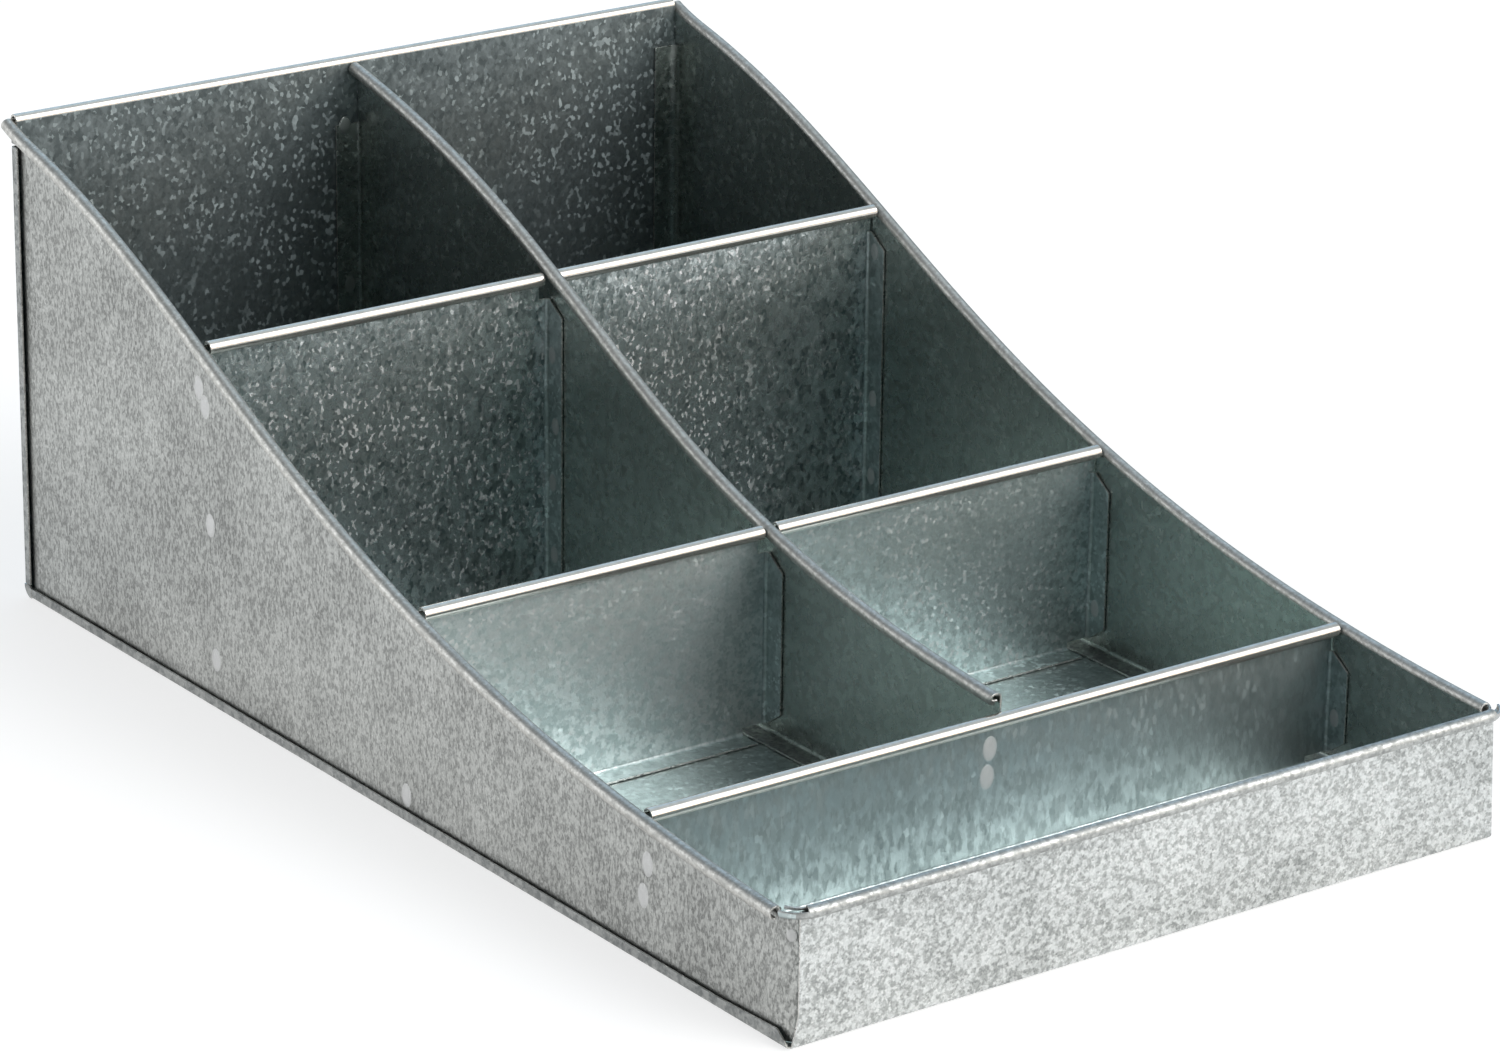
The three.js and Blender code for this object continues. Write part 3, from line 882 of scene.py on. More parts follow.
@dataclass
class WrapSheet:
    """Back, floor and front in one sheet, with rolled tops and lips round the side panels."""

    places: Places
    back_bead: float = 4.2
    front_bead: float = 4.0
    heel_bend: float = 4.0
    toe_bend: float = 1.2
    lip_bend: float = 0.9
    lip_gap: float = 0.8
    floor_lip: float = 3.6
    lip_rise: float = 1.1
    lip_rise_run: float = 34.0
    lip_mitre: float = 4.6
    lip_notch: float = 0.3
    back_lip: float = 3.8
    heel_lip: float = 0.2
    back_lip_drop: float = 10.0
    front_inset: float = 1.8
    front_mitre: float = 9.0
    corner_seam: float = 0.05
    right_lean: float = 1.6
    bead_wrap: float = 70.0
    wrap_steps: int = 7
    tear_from: float = 3.0
    tear_rise: float = 0.7

    @property
    def half_width(self) -> float:
        """Where the floor and the back start to bend into their lips."""
        return self.places.side_x + self.lip_gap + STOCK.half - self.lip_bend

    @property
    def bead_x(self) -> float:
        """Where the front bead starts to turn round the corner."""
        return self.places.side_x - STOCK.half - STOCK.corner_bend

    @property
    def inner_x(self) -> float:
        """Where the top of the back ends beside a side panel."""
        return self.places.side_x - STOCK.thickness - self.corner_seam

    @property
    def front_x(self) -> float:
        """Where the front ends beside a side panel's corner."""
        return self.places.side_x - self.front_inset

    @property
    def heel_y(self) -> float:
        """Where the floor starts to bend up into the back."""
        return self.places.back_y - STOCK.half - self.heel_bend

    @property
    def heel_z(self) -> float:
        """Height where the bend into the back ends."""
        return STOCK.half + self.heel_bend

    @property
    def mitre_z(self) -> float:
        """Top of the slanted foot of the front's ends."""
        return STOCK.thickness + self.front_mitre

    @property
    def hem_z(self) -> float:
        """Height of the middle of the front bead."""
        return self.places.front_height - self.front_bead / 2

    def build(self) -> bpy.types.Object:
        """Builds the wrap sheet.

        Returns:
            The piece.
        """
        form = SheetForm()
        self.section(form)
        self.widen(form)
        self.trim(form)
        self.wrap_bead(form)
        self.floor_lips(form)
        self.back_lips(form)
        self.heel_lips(form)
        self.mark_regions(form)
        finishes = [
            *(COARSE, FLOOR_BIN, CUT),
            *(ROLLED, ROLLED, CUT),
            # The lips take the dark zinc that paints the shade along the floor seams.
            *(SHADED_LIP, SHADED_LIP, CUT),
            *(HEMMED, HEMMED, CUT),
            # The back's inner face gets a darker tone that paints the shade of the rear bins.
            *(COARSE, SHADED_BACK_BIN, CUT),
        ]
        return form.finish("wrap_sheet_skin", -Z, finishes)

    def section(self, form: SheetForm) -> None:
        """Draws the section from the front bead over the floor to the back bead.

        Args:
            form: The sheet.
        """
        at = self.places
        left = -self.half_width
        toe = Vector((left, at.front_y + STOCK.half + self.toe_bend, STOCK.half))
        foot = form.start(toe)
        vert = foot
        for y in (at.front_y + self.lip_rise_run, self.heel_y - self.lip_notch, self.heel_y):
            vert = form.run(vert, Y * (y - vert.co.y))
        heel = Vector((left, self.heel_y, self.heel_z))
        vert = form.arc(vert, heel, X, 90, STOCK.bend_steps)
        bead_z = at.back_height - self.back_bead / 2
        for z in (heel.z + self.lip_notch, at.back_height - self.back_lip_drop, bead_z):
            vert = form.run(vert, Z * (z - vert.co.z))
        centre = vert.co + Y * STOCK.roll_radius(self.back_bead)
        form.arc(vert, centre, X, -STOCK.roll_degrees, STOCK.roll_steps)

        vert = form.arc(foot, toe + Z * self.toe_bend, X, -90, STOCK.bend_steps)
        hem_foot = at.front_height - self.front_bead - STOCK.bead_clearance
        for z in (self.mitre_z, hem_foot, self.hem_z):
            vert = form.run(vert, Z * (z - vert.co.z))
        centre = vert.co - Y * STOCK.roll_radius(self.front_bead)
        form.arc(vert, centre, X, STOCK.roll_degrees, STOCK.roll_steps)

    def widen(self, form: SheetForm) -> None:
        """Pulls the section across the width, with rows where the corners are cut.

        Args:
            form: The sheet.
        """
        stops = (self.inner_x, self.front_x, self.bead_x)
        edges = list(form.mesh.edges)
        x = -self.half_width
        for stop in [*(-stop for stop in stops), *reversed(stops), self.half_width]:
            edges = form.pull(edges, X * (stop - x))
            x = stop

    def trim(self, form: SheetForm) -> None:
        """Cuts the corners of the back and the front.

        Args:
            form: The sheet.
        """
        at, front_x, mitre_z = self.places, self.front_x, self.mitre_z
        lip_top = at.back_height - self.back_lip_drop
        form.drop(lambda c: c.y > 0 and c.z > lip_top and abs(c.x) > self.inner_x)
        form.drop(lambda c: at.front_y < c.y < 0 and mitre_z < c.z < self.hem_z and abs(c.x) > front_x)
        form.drop(lambda c: c.y < 0 and c.z > self.hem_z and abs(c.x) > self.bead_x)
        form.drop(lambda c: c.y < at.front_y and abs(c.x) > self.bead_x)
        for side, lean in ((Side.LEFT, 0.0), (Side.RIGHT, self.right_lean)):
            apex = form.verts_where(
                lambda c: c.y < 0 and abs(c.z - mitre_z) < NEAR and c.x * side.value > front_x - NEAR
            )
            corner = Vector((side.value * (front_x + lean), at.front_y + STOCK.half, mitre_z))
            bmesh.ops.pointmerge(form.mesh, verts=apex, merge_co=corner)

    def wrap_bead(self, form: SheetForm) -> None:
        """Turns the front bead round both corners, where its ends are torn open at the top.

        Args:
            form: The sheet.
        """
        at = self.places
        foot_z = at.front_height - self.front_bead
        for side in Side:
            x = side.value * self.bead_x
            rim = form.border(
                lambda c: c.y < at.front_y + STOCK.thickness and c.z > foot_z and abs(c.x - x) < NEAR
            )
            form.spin(rim, Vector((x, at.corner_y, 0)), Z, self.bead_wrap * side.value, self.wrap_steps)
        tear_z = self.hem_z + self.tear_rise
        form.drop(lambda c: c.y < 0 and c.z > tear_z and abs(c.x) > self.bead_x + self.tear_from)

    def floor_lips(self, form: SheetForm) -> None:
        """Turns the sides of the floor up into lips that rise to a mitre at the front.

        Args:
            form: The sheet.
        """
        last_y = self.heel_y - self.lip_notch
        for side in Side:
            x = side.value * self.half_width
            edges = form.border(
                lambda c: abs(c.x - x) < NEAR and abs(c.z - STOCK.half) < NEAR and c.y < last_y + NEAR
            )
            centre = Vector((x, 0, STOCK.half + self.lip_bend))
            edges = form.bend(edges, centre, Y, -90 * side.value)
            edges = form.pull(edges, Z * (self.floor_lip - STOCK.half - self.lip_bend))
            tip = min((vert for edge in edges for vert in edge.verts), key=lambda vert: vert.co.y)
            form.shift([tip], Z * self.lip_rise + Y * self.lip_mitre)

    def back_lips(self, form: SheetForm) -> None:
        """Turns the sides of the back forwards into lips.

        Args:
            form: The sheet.
        """
        back_y = self.places.back_y - STOCK.half
        low = self.heel_z + self.lip_notch - NEAR
        for side in Side:
            x = side.value * self.half_width
            edges = form.border(lambda c: abs(c.x - x) < NEAR and abs(c.y - back_y) < NEAR and c.z > low)
            edges = [edge for edge in edges if abs(edge.verts[0].co.z - edge.verts[1].co.z) > NEAR]
            edges = form.bend(edges, Vector((x, back_y - self.lip_bend, 0)), Z, -90 * side.value)
            form.pull(edges, -Y * (self.back_lip - STOCK.half - self.lip_bend))

    def heel_lips(self, form: SheetForm) -> None:
        """Runs the lips on round the bend between the floor and the back.

        Args:
            form: The sheet.
        """
        low_y, high_z = self.heel_y - NEAR, self.heel_z + NEAR
        for side in Side:
            x = side.value * self.half_width
            edges = form.border(lambda c: abs(c.x - x) < NEAR and c.y > low_y and c.z < high_z)
            edges = form.pull(edges, X * side.value * self.lip_bend)
            edges = form.pull(edges, Vector())
            verts = list({vert for edge in edges for vert in edge.verts})
            axis = Matrix.Translation(Vector((0, -self.heel_y, -self.heel_z)))
            shrink = Vector((1, self.heel_lip, self.heel_lip))
            bmesh.ops.scale(form.mesh, vec=shrink, space=axis, verts=verts)

    def mark_regions(self, form: SheetForm) -> None:
        """Names the beads and the lips, which are dressed apart.

        Args:
            form: The sheet.
        """
        at = self.places
        hem_foot = at.front_height - self.front_bead
        # The back is dressed apart so that its inner face can carry painted shade.
        form.region(Region.BACK, lambda c: c.y > at.back_y - STOCK.thickness)
        form.region(Region.BEAD, lambda c: c.z > at.back_height - self.back_bead / 2)
        form.region(Region.BEAD, lambda c: c.y > at.back_y)
        form.region(Region.HEM, lambda c: c.y < 0 and c.z > self.hem_z)
        form.region(Region.HEM, lambda c: c.y < at.front_y)
        form.region(Region.LIP, lambda c: abs(c.x) > self.half_width and c.z < hem_foot)
        form.region(Region.LIP, lambda c: abs(c.x) > self.half_width and c.y > 0)


@dataclass(kw_only=True)
class UprightPanel:
    """Panel along Y with an ogee top edge that is rolled to one side, and a floor flange."""

    x: float
    line: OgeeLine
    bead: float = 4.4

    def rise(self, form: SheetForm) -> None:
        """Draws the top line and pulls the panel down from it to the start of its floor flange.

        Args:
            form: The sheet.
        """
        points = self.line.points(self.x)
        vert = form.start(points[0])
        for point in points[1:]:
            vert = form.run(vert, point - vert.co)
        edges = form.pull(list(form.mesh.edges), Vector())
        verts = list({vert for edge in edges for vert in edge.verts})
        flat = Matrix.Translation(-Z * STOCK.foot)
        bmesh.ops.scale(form.mesh, vec=Vector((1, 1, 0)), space=flat, verts=verts)

    def top_line(self, form: SheetForm) -> list[BMVert]:
        """Gives the vertices of the top line from front to back, after the panel was sliced."""
        line = [vert for vert in form.mesh.verts if self.on_line(vert.co)]
        return sorted(line, key=lambda vert: vert.co.y)

    def on_line(self, place: Vector) -> bool:
        """Tells whether a place is on the top line.

        Args:
            place: The place.

        Returns:
            True if it is.
        """
        front_y, back_y = self.line.front[0], self.line.back[0]
        if not front_y - NEAR < place.y < back_y + NEAR:
            return False
        y = min(max(place.y, front_y), back_y - MERGE)
        return abs(place.z - self.line.height_at(y)) < NEAR

    def floor_flange(self, form: SheetForm, way: int, from_y: float, to_y: float) -> None:
        """Folds the foot of the panel into its floor flange.

        Args:
            form: The sheet.
            way: Sign of the X that the flange points to.
            from_y: Front end of the flange.
            to_y: Back end of the flange.
        """
        edges = form.border(
            lambda c: abs(c.z - STOCK.foot) < NEAR and from_y - NEAR < c.y < to_y + NEAR
            and abs(c.x - self.x) < NEAR
        )
        centre = Vector((self.x + way * STOCK.flange_bend, 0, STOCK.foot))
        edges = form.bend(edges, centre, Y, -90 * way)
        form.pull(edges, X * way * (STOCK.floor_flange - STOCK.half - STOCK.flange_bend))
        form.region(Region.LIP, lambda c: c.z < STOCK.lift + NEAR)

    def end_flange(
        self, form: SheetForm, way: int, y: float, radius: float, length: float, forward: bool
    ) -> list[BMEdge]:
        """Folds an upright end of the panel into a flange.

        Args:
            form: The sheet.
            way: Sign of the X that the flange points to.
            y: Where the bend starts.
            radius: Middle-surface radius of the bend.
            length: Straight run after the bend.
            forward: Whether the bend is at the front end.

        Returns:
            The free edge of the flange.
        """
        edges = form.border(lambda c: abs(c.y - y) < NEAR and abs(c.x - self.x) < NEAR)
        upright = [edge for edge in edges if abs(edge.verts[0].co.z - edge.verts[1].co.z) > NEAR]
        turn = 90 * way if forward else -90 * way
        edges = form.bend(upright, Vector((self.x + way * radius, y, 0)), Z, turn)
        return form.pull(edges, X * way * length)


@dataclass(kw_only=True)
class SidePanel(UprightPanel):
    """Side panel: its top rolled outwards, and flanges turned in at the front, the floor and the back."""

    side: Side
    places: Places
    back_bend: float = 3.5
    front_flange: float = 10.0
    back_flange: float = 9.5
    flange_drop: float = 16.0
    tab_drop: float = 9.8
    flare_reach: float = 15.0
    flare_rise: float = 1.7

    def build(self) -> bpy.types.Object:
        """Builds the side panel.

        Returns:
            The piece.
        """
        at, inward = self.places, -self.side.value
        form = SheetForm()
        self.rise(form)
        front_y = self.line.front[0]
        bend_y = at.back_y - STOCK.lift - self.back_bend
        inside_y = at.back_y - STOCK.thickness - STOCK.seam
        flange_z = at.back_height - self.flange_drop
        tab_z = at.back_height - self.tab_drop
        flange_from = at.front_y + STOCK.flange_setback
        flange_to = at.back_y - STOCK.flange_setback
        form.slice(Y, bend_y, inside_y, flange_from, flange_to)
        form.slice(Z, flange_z, tab_z)
        form.drop(lambda c: c.y > bend_y and c.z < flange_z)
        form.drop(lambda c: c.y > inside_y and c.z < tab_z)
        top = self.top_line(form)
        self.flare(form, top)

        front_run = self.front_flange - STOCK.half - STOCK.corner_bend
        self.end_flange(form, inward, front_y, STOCK.corner_bend, front_run, True)
        corner = form.verts_where(lambda c: c.y < front_y - NEAR and abs(c.z - STOCK.foot) < NEAR)
        form.shift(corner, Z * (STOCK.thickness + STOCK.seam - STOCK.foot))
        back_run = self.back_flange - STOCK.half - self.back_bend
        self.end_flange(form, inward, bend_y, self.back_bend, back_run, False)
        self.floor_flange(form, inward, flange_from, flange_to)
        form.roll_edge(top, X * self.side.value, self.bead)
        # The outer face takes the side panels' zinc, whose darker tone is painted shade.
        finishes = [SHADED_SATIN, SATIN_BIN, CUT, SATIN_ROLLED, SATIN_ROLLED, CUT, SHADED_LIP, SHADED_LIP, CUT]
        return form.finish(f"{self.side.name.lower()}_side_panel_skin", X * self.side.value, finishes)

    def flare(self, form: SheetForm, top: list[BMVert]) -> None:
        """Lifts the back end of the top line up to the back bead.

        Args:
            form: The sheet.
            top: The vertices of the top line from front to back.
        """
        for vert in top:
            part = max(0.0, 1 - (top[-1].co.y - vert.co.y) / self.flare_reach)
            form.shift([vert], Z * self.flare_rise * part * part)


@dataclass(kw_only=True)
class CentrePartition(UprightPanel):
    """Partition between the columns: its top and its flanges are turned to the left."""

    places: Places
    front_divider_y: float
    front_flange_z: float
    back_flange: float = 9.5
    back_flange_drop: float = 23.0
    pinch_reach: float = 1.2
    pinch_left: float = 0.5

    def build(self) -> bpy.types.Object:
        """Builds the partition.

        Returns:
            The piece.
        """
        at, way = self.places, Side.LEFT.value
        form = SheetForm()
        self.rise(form)
        front_bend_y = self.front_divider_y + STOCK.seam + STOCK.half + STOCK.flange_bend
        back_bend_y = at.back_y - STOCK.lift - STOCK.flange_bend
        flange_z = at.back_height - self.back_flange_drop
        flange_from = self.front_divider_y + STOCK.flange_setback
        flange_to = at.back_y - STOCK.flange_setback
        form.slice(Y, front_bend_y, back_bend_y, flange_from, flange_to)
        form.slice(Z, flange_z, self.front_flange_z)
        form.drop(lambda c: c.y < front_bend_y and c.z < self.front_flange_z)
        form.drop(lambda c: c.y > back_bend_y and c.z < flange_z)
        top = self.top_line(form)
        self.end_flange(
            form, way, front_bend_y, STOCK.flange_bend, STOCK.end_flange - STOCK.flange_bend, True
        )
        self.end_flange(
            form, way, back_bend_y, STOCK.flange_bend, self.back_flange - STOCK.flange_bend, False
        )
        self.floor_flange(form, way, flange_from, flange_to)
        form.roll_edge(top, X * way, self.bead)
        self.pinch(form)
        # The floor flange takes the dark zinc that paints the shade along the floor seams.
        finishes = [SATIN_BIN, SATIN_BIN, CUT, SATIN_ROLLED, SATIN_ROLLED, CUT, SHADED_LIP, SHADED_LIP, CUT]
        return form.finish("centre_partition_skin", X * way, finishes)

    def pinch(self, form: SheetForm) -> None:
        """Presses the front end of the bead flat towards its top.

        Args:
            form: The sheet.
        """
        front_y, front_z = self.line.front
        end = form.verts_where(
            lambda c: c.y < front_y + self.pinch_reach and c.z > front_z - self.bead and c.x < self.x - NEAR
        )
        top = Matrix.Translation(-Z * (front_z + STOCK.roll_radius(self.bead)))
        bmesh.ops.scale(form.mesh, vec=Vector((1, 1, self.pinch_left)), space=top, verts=end)


@dataclass
class Divider:
    """Divider across a bin: its top rolled forwards, and flanges turned forwards at ends and floor."""

    node: str
    left: EndFit
    right: EndFit
    zinc: Finish
    bead: float = 4.6
    flange_drop: float = 7.5
    corner_relief: float = 3.0
    chamfer: float = 5.0

    def build(self) -> bpy.types.Object:
        """Builds the divider.

        Returns:
            The piece.
        """
        low, high = frame_box(self.node)
        y = high.y - STOCK.half
        bead_z = high.z - self.bead / 2
        flange_z = bead_z - self.flange_drop
        relief_z = STOCK.thickness + STOCK.seam + self.corner_relief
        faces = (low.x - STOCK.seam, high.x + STOCK.seam)
        bends = (
            low.x + STOCK.half + STOCK.flange_bend,
            high.x - STOCK.half - STOCK.flange_bend,
        )
        beads, feet = zip(*(self.left.value, self.right.value))
        bead_from = faces[0] + beads[0] + STOCK.bead_clearance
        bead_to = faces[1] - beads[1] - STOCK.bead_clearance
        foot_from = faces[0] + feet[0] + STOCK.bead_clearance
        foot_to = faces[1] - feet[1] - STOCK.bead_clearance

        form = SheetForm()
        stops = sorted({bead_from, bead_to, foot_from, foot_to, *bends})
        self.section(form, Vector((stops[0], y, bead_z)), relief_z, flange_z)
        edges = list(form.mesh.edges)
        for before, after in zip(stops, stops[1:]):
            edges = form.pull(edges, X * (after - before))
        form.drop(lambda c: c.z > flange_z and not bead_from < c.x < bead_to)
        form.drop(lambda c: relief_z < c.z < flange_z and not bends[0] < c.x < bends[1])
        form.drop(lambda c: c.z < relief_z and not foot_from < c.x < foot_to)
        form.region(Region.BEAD, lambda c: c.z > bead_z or (c.z > flange_z and c.y < y - NEAR))
        for bend_x, way in zip(bends, (1, -1)):
            self.end_flange(form, Vector((bend_x, y, 0)), way, relief_z, flange_z)
        form.region(Region.LIP, lambda c: c.z < STOCK.lift + NEAR)
        form.region(Region.LIP, lambda c: c.z < flange_z and not bends[0] < c.x < bends[1])
        finishes = [self.zinc, self.zinc, CUT, ROLLED, ROLLED, CUT, FLOOR_BIN, FLOOR_BIN, CUT]
        return form.finish(self.node + "_skin", -Y, finishes)

    def section(self, form: SheetForm, bead_start: Vector, relief_z: float, flange_z: float) -> None:
        """Draws the section from the floor flange to the rolled top.

        Args:
            form: The sheet.
            bead_start: Where the roll starts.
            relief_z: Top of the open corners at the floor.
            flange_z: Top of the end flanges.
        """
        free = Vector((bead_start.x, bead_start.y - STOCK.floor_flange, STOCK.lift))
        vert = form.run(form.start(free), Y * (STOCK.floor_flange - STOCK.flange_bend))
        vert = form.arc(vert, vert.co + Z * STOCK.flange_bend, X, 90, STOCK.bend_steps)
        for z in (relief_z, flange_z, bead_start.z):
            vert = form.run(vert, Z * (z - vert.co.z))
        centre = bead_start - Y * STOCK.roll_radius(self.bead)
        form.arc(vert, centre, X, STOCK.roll_degrees, STOCK.roll_steps)

    def end_flange(self, form: SheetForm, bend: Vector, way: int, low_z: float, high_z: float) -> None:
        """Folds an end of the divider forwards into a flange with cut corners.

        Args:
            form: The sheet.
            bend: Where the bend starts.
            way: 1 for the left end, -1 for the right end.
            low_z: Foot of the flange.
            high_z: Top of the flange.
        """
        edges = form.border(
            lambda c: abs(c.x - bend.x) < NEAR and abs(c.y - bend.y) < NEAR
            and low_z - NEAR < c.z < high_z + NEAR
        )
        edges = form.bend(edges, bend - Y * STOCK.flange_bend, Z, 90 * way)
        edges = form.pull(edges, -Y * (STOCK.end_flange - STOCK.flange_bend))
        corners = sorted((vert for edge in edges for vert in edge.verts), key=lambda vert: vert.co.z)
        form.shift([corners[0]], Z * self.chamfer)
        form.shift([corners[-1]], -Z * self.chamfer)


class SpotWelds:
    """Weld marks in one piece: low smooth domes, each made a millimetre wide and then stretched."""

    corners = 24
    radius = 0.5
    pad = 0.5
    sink = 0.06
    rings = ((0.08, 0.1, 0.8), (0.16, 0.05, 1.0))

    def __init__(self) -> None:
        """Starts without marks."""
        self.mesh = bmesh.new()
        self.strength = self.mesh.verts.layers.float.new("weld")
        self.finishes: list[Finish] = []

    def press(self, place: Vector, facing: Vector, width: float, height: float, finish: Finish) -> None:
        """Presses one mark.

        Args:
            place: Middle of the mark on the face.
            facing: Way that the face looks.
            width: Size of the mark along the face.
            height: Size of the mark up the face.
            finish: Finish of the sheet that it is on.
        """
        if finish not in self.finishes:
            self.finishes.append(finish)
        made = bmesh.ops.create_cone(
            self.mesh,
            cap_ends=True,
            segments=self.corners,
            radius1=self.radius,
            radius2=self.radius,
            depth=self.pad,
            matrix=Matrix.Translation(-Z * (self.pad / 2 + self.sink)),
        )
        faces = {face for vert in made["verts"] for face in vert.link_faces}
        top = max(faces, key=lambda face: face.calc_center_median().z)
        for inset, rise, strength in self.rings:
            ring = bmesh.ops.inset_region(self.mesh, faces=[top], thickness=inset, depth=rise)
            faces.update(ring["faces"])
            for vert in top.verts:
                vert[self.strength] = strength
        for face in faces:
            face.smooth = True
            face.material_index = self.finishes.index(finish)
        turn = facing.to_track_quat("Z", "Y").to_matrix().to_4x4()
        shape = Matrix.Diagonal((width, height, 1, 1))
        verts = list({vert for face in faces for vert in face.verts})
        bmesh.ops.transform(self.mesh, matrix=Matrix.Translation(place) @ turn @ shape, verts=verts)

    def build(self, name: str) -> bpy.types.Object:
        """Makes the marks a piece of that name."""
        return as_object(self.mesh, name, [finish.material() for finish in self.finishes])


@dataclass(frozen=True)
class WeldPlan:
    """Where the sheets are welded: places along a face and up it, in millimetres."""

    places: Places
    side_marks: Marks = (
        *((101.5, 105.5), (98.0, 100.0), (96.0, 61.0), (94.0, 16.0)),
        *((-17.0, 8.0), (-144.0, 31.0), (-142.0, 20.5)),
    )
    wall_marks: Marks = ((96.0, 105.5), (95.5, 53.0), (95.5, 25.0))
    middle_wall_marks: Marks = ((-26.0, 15.0),)
    front_wall_marks: Marks = ((-144.0, 16.0),)
    middle_marks: Marks = ((96.5, 93.0), (94.5, 69.0), (96.0, 49.0), (95.0, 24.0))
    front_marks: Marks = ((-4.7, 36.0), (-5.5, 27.0))
    back_marks: Marks = ((-6.0, 143.0), (-4.7, 86.5), (-5.2, 38.0))
    corner_turn: float = 40.0
    corner_z: float = 33.5
    outer_size: tuple[float, float] = (6.0, 8.8)
    corner_size: tuple[float, float] = (3.4, 4.4)
    flange_size: tuple[float, float] = (4.6, 6.6)

    def side(self, side: Side) -> bpy.types.Object:
        """Presses the marks on the outside of a side panel.

        Args:
            side: The panel's side.

        Returns:
            The marks as one piece.
        """
        welds = SpotWelds()
        at = self.places
        for y, z in self.side_marks:
            welds.press(Vector((side.value * at.side_x, y, z)), X * side.value, *self.outer_size, SHADED_SATIN)
        bend = Vector((side.value * (at.side_x - STOCK.corner_bend), at.corner_y, self.corner_z))
        facing = Matrix.Rotation(math.radians(-self.corner_turn * side.value), 3, Z) @ X * side.value
        welds.press(bend + facing * STOCK.corner_bend, facing, *self.corner_size, SHADED_SATIN)
        return welds.build(f"{side.name.lower()}_side_weld_marks")

    def dividers(self) -> bpy.types.Object:
        """Presses the marks on the dividers and on their end flanges.

        Returns:
            The marks as one piece.
        """
        welds = SpotWelds()
        wall_x = self.places.side_x - 2 * STOCK.thickness - STOCK.seam
        middle_x = STOCK.half + STOCK.seam + STOCK.thickness
        walls = (
            (self.wall_marks, BIN),
            (self.middle_wall_marks, LIT_BIN),
            (self.front_wall_marks, GREY_BIN),
        )
        for side in Side:
            for marks, finish in walls:
                for y, z in marks:
                    place = Vector((side.value * wall_x, y, z))
                    welds.press(place, -X * side.value, *self.flange_size, finish)
            for y, z in self.middle_marks:
                welds.press(Vector((side.value * middle_x, y, z)), X * side.value, *self.flange_size, BIN)
        front_y = frame_box("front_divider")[1].y - STOCK.thickness
        for x, z in self.front_marks:
            welds.press(Vector((x, front_y, z)), -Y, *self.outer_size, GREY_BIN)
        return welds.build("divider_weld_marks")

    def partition(self) -> bpy.types.Object:
        """Presses the marks on the partition's rear flange.

        Returns:
            The marks as one piece.
        """
        welds = SpotWelds()
        back_y = self.places.back_y - 2 * STOCK.thickness - STOCK.seam
        for x, z in self.back_marks:
            welds.press(Vector((x, back_y, z)), -Y, *self.flange_size, SATIN_BIN)
        return welds.build("partition_weld_marks")


@dataclass(frozen=True)
class SkyPatch:
    """Soft bright patch of the studio's dome; azimuth runs from the front over the right."""

    azimuth: float
    elevation: float
    colour: Colour
    strength: float
    tightness: float = 10.0

    def glow(self, graph: Graph, way: bpy.types.NodeSocket) -> bpy.types.NodeSocket:
        """Gives the patch's light for a direction.

        Args:
            graph: The world's graph.
            way: The direction's output.

        Returns:
            The light's output.
        """
        turn = Matrix.Rotation(math.radians(self.azimuth), 3, Z)
        tip = Matrix.Rotation(-math.radians(self.elevation), 3, X)
        dot = graph.add("ShaderNodeVectorMath", operation="DOT_PRODUCT")
        graph.feed(dot.inputs[0], way)
        dot.inputs[1].default_value = turn @ tip @ -Y
        fall = graph.maths("MULTIPLY_ADD", dot.outputs["Value"], self.tightness, -self.tightness)
        light = Vector(self.colour) * self.strength
        return graph.stretch(light, graph.maths("EXPONENT", fall))


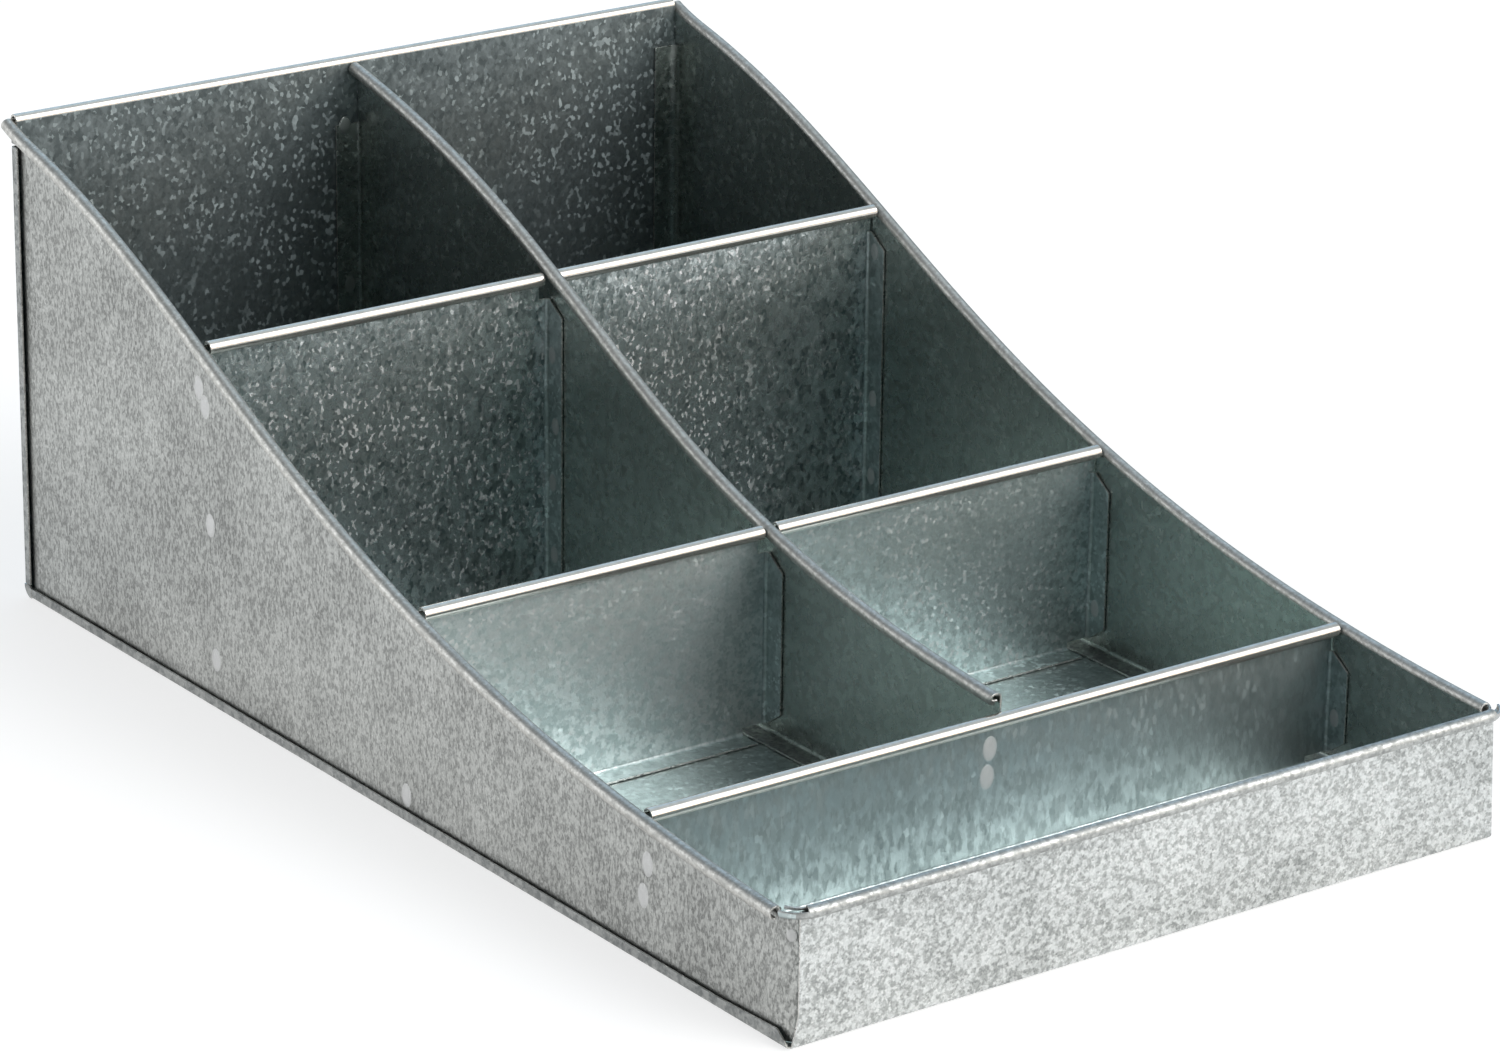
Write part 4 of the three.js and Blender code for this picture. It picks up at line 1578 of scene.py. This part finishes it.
@dataclass(frozen=True)
class Studio:
    """Pale floor, soft light and the camera of the photograph's view; lengths in millimetres."""

    azimuth: float = -36.38
    elevation: float = 20.26
    roll: float = 0.8
    eye: tuple[float, float, float] = (-1017.6, -1393.3, 699.7)
    lens: float = 139.77
    film: float = 36.0
    view_depth: float = 100000.0
    floor_size: float = 24000.0
    floor_gap: float = 0.4
    floor_tone: Colour = (0.42, 0.42, 0.42)
    floor_rough: float = 0.9
    floor_glow: float = 0.7
    dome: Colour = (0.068, 0.071, 0.073)
    patches: tuple[SkyPatch, ...] = (
        SkyPatch(30, 34, (1.0, 0.995, 0.98), 7.6, 16.0),
        SkyPatch(34, 5, (1.0, 0.72, 0.46), 1.3, 40.0),
        SkyPatch(150, 26, (0.5, 0.76, 1.0), 1.0),
        SkyPatch(240, 8, (0.96, 0.98, 1.0), 2.7),
        SkyPatch(120, 62, (0.76, 0.9, 1.0), 0.7),
        SkyPatch(0, 90, (0.92, 0.97, 1.0), 0.4),
    )

    def build(self) -> None:
        """Sets up the floor, the light and the camera."""
        self.floor()
        self.sky()
        self.camera()
        bpy.context.scene.view_settings.view_transform = "Standard"

    def floor(self) -> None:
        """Lays a pale floor just under the organizer."""
        mesh = bmesh.new()
        bmesh.ops.create_grid(mesh, x_segments=1, y_segments=1, size=self.floor_size / 2)
        bmesh.ops.translate(mesh, vec=-Z * self.floor_gap, verts=mesh.verts)
        floor = as_object(mesh, "floor", [self.paper()])

    def paper(self) -> bpy.types.Material:
        """Makes the floor's white paper, which glows to the eye and in reflections only.

        Returns:
            The material.
        """
        material = bpy.data.materials.new("studio_paper")
        material.use_nodes = True
        graph = Graph(material.node_tree)
        shader = material.node_tree.nodes["Principled BSDF"]
        shader.inputs["Base Color"].default_value = (*self.floor_tone, 1)
        shader.inputs["Roughness"].default_value = self.floor_rough
        shader.inputs["Specular IOR Level"].default_value = 0.0
        path = graph.add("ShaderNodeLightPath")
        seen = graph.maths("MAXIMUM", path.outputs["Is Camera Ray"], path.outputs["Is Glossy Ray"])
        seen = graph.maths("MAXIMUM", seen, path.outputs["Is Transmission Ray"])
        shader.inputs["Emission Color"].default_value = (1, 1, 1, 1)
        graph.feed(shader.inputs["Emission Strength"], graph.maths("MULTIPLY", seen, self.floor_glow))
        return material

    def sky(self) -> None:
        """Surrounds the studio with a dim dome and soft bright patches, one for each softbox."""
        world = bpy.data.worlds.new("studio_dome")
        world.use_nodes = True
        graph = Graph(world.node_tree)
        way = graph.add("ShaderNodeTexCoord").outputs["Generated"]
        light = Vector(self.dome)
        for patch in self.patches:
            light = graph.vector("ADD", patch.glow(graph, way), light)
        backdrop = world.node_tree.nodes["Background"]
        graph.feed(backdrop.inputs["Color"], light)
        backdrop.inputs["Strength"].default_value = 1.0
        bpy.context.scene.world = world

    def camera(self) -> None:
        """Sets the camera at the photograph's view."""
        data = bpy.data.cameras.new("camera")
        data.sensor_fit = "HORIZONTAL"
        data.sensor_width = self.film
        data.lens = self.lens
        data.clip_end = self.view_depth * MM
        camera = bpy.data.objects.new("camera", data)
        camera.location = Vector(self.eye) * MM
        turn = Matrix.Rotation(math.radians(self.azimuth), 3, Z)
        tip = Matrix.Rotation(math.radians(90 - self.elevation), 3, X)
        lean = Matrix.Rotation(math.radians(self.roll), 3, Z)
        camera.rotation_euler = (turn @ tip @ lean).to_euler()
        bpy.context.scene.collection.objects.link(camera)
        bpy.context.scene.camera = camera


def put(piece: bpy.types.Object, slot: str, node: str | None = None) -> None:
    """Joins a piece to the frame and reports it.

    Args:
        piece: The piece.
        slot: Name of the record's material slot, which only goes into the log.
        node: The frame node that it stands for, if any.
    """
    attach(piece, "root")
    if node:
        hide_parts(node)
    log.info("%s is in place for %s", piece.name, node or slot)


def main() -> None:
    """Builds the organizer and its studio."""
    logging.basicConfig(level=logging.INFO, format="%(message)s")
    places = Places.from_frame(UprightPanel.bead, WrapSheet.front_bead)
    lines = TopLines(places)
    welds = WeldPlan(places)
    Studio().build()
    put(WrapSheet(places).build(), "wrap_sheet", "wrap_sheet")

    for side in Side:
        x = side.value * (places.side_x - STOCK.half)
        panel = SidePanel(x=x, line=lines.sides(), side=side, places=places)
        put(panel.build(), "side_panels", f"{side.name.lower()}_side_panel")
        put(welds.side(side), "side_panels")

    front_divider_y = frame_box("front_divider")[1].y
    partition = CentrePartition(
        x=0.0,
        line=lines.partition(front_divider_y),
        places=places,
        front_divider_y=front_divider_y,
        front_flange_z=lines.sides().height_at(front_divider_y) - Divider.flange_drop,
    )
    put(partition.build(), "partition", "centre_partition")
    put(welds.partition(), "partition")

    # The middle dividers take the paler copies of the bin zinc, whose tone paints the light on them.
    for row, left_zinc, right_zinc in (("rear", BIN, BIN), ("middle", LIT_BIN, HALF_LIT_BIN)):
        left = Divider(f"{row}_divider_left", EndFit.SIDE_WALL, EndFit.BEAD_SIDE, left_zinc)
        right = Divider(f"{row}_divider_right", EndFit.PLAIN_SIDE, EndFit.SIDE_WALL, right_zinc)
        for divider in (left, right):
            put(divider.build(), "dividers", divider.node)
    front = Divider("front_divider", EndFit.SIDE_WALL, EndFit.SIDE_WALL, GREY_BIN)
    put(front.build(), "dividers", front.node)
    put(welds.dividers(), "dividers")


if __name__ == "__main__":
    main()
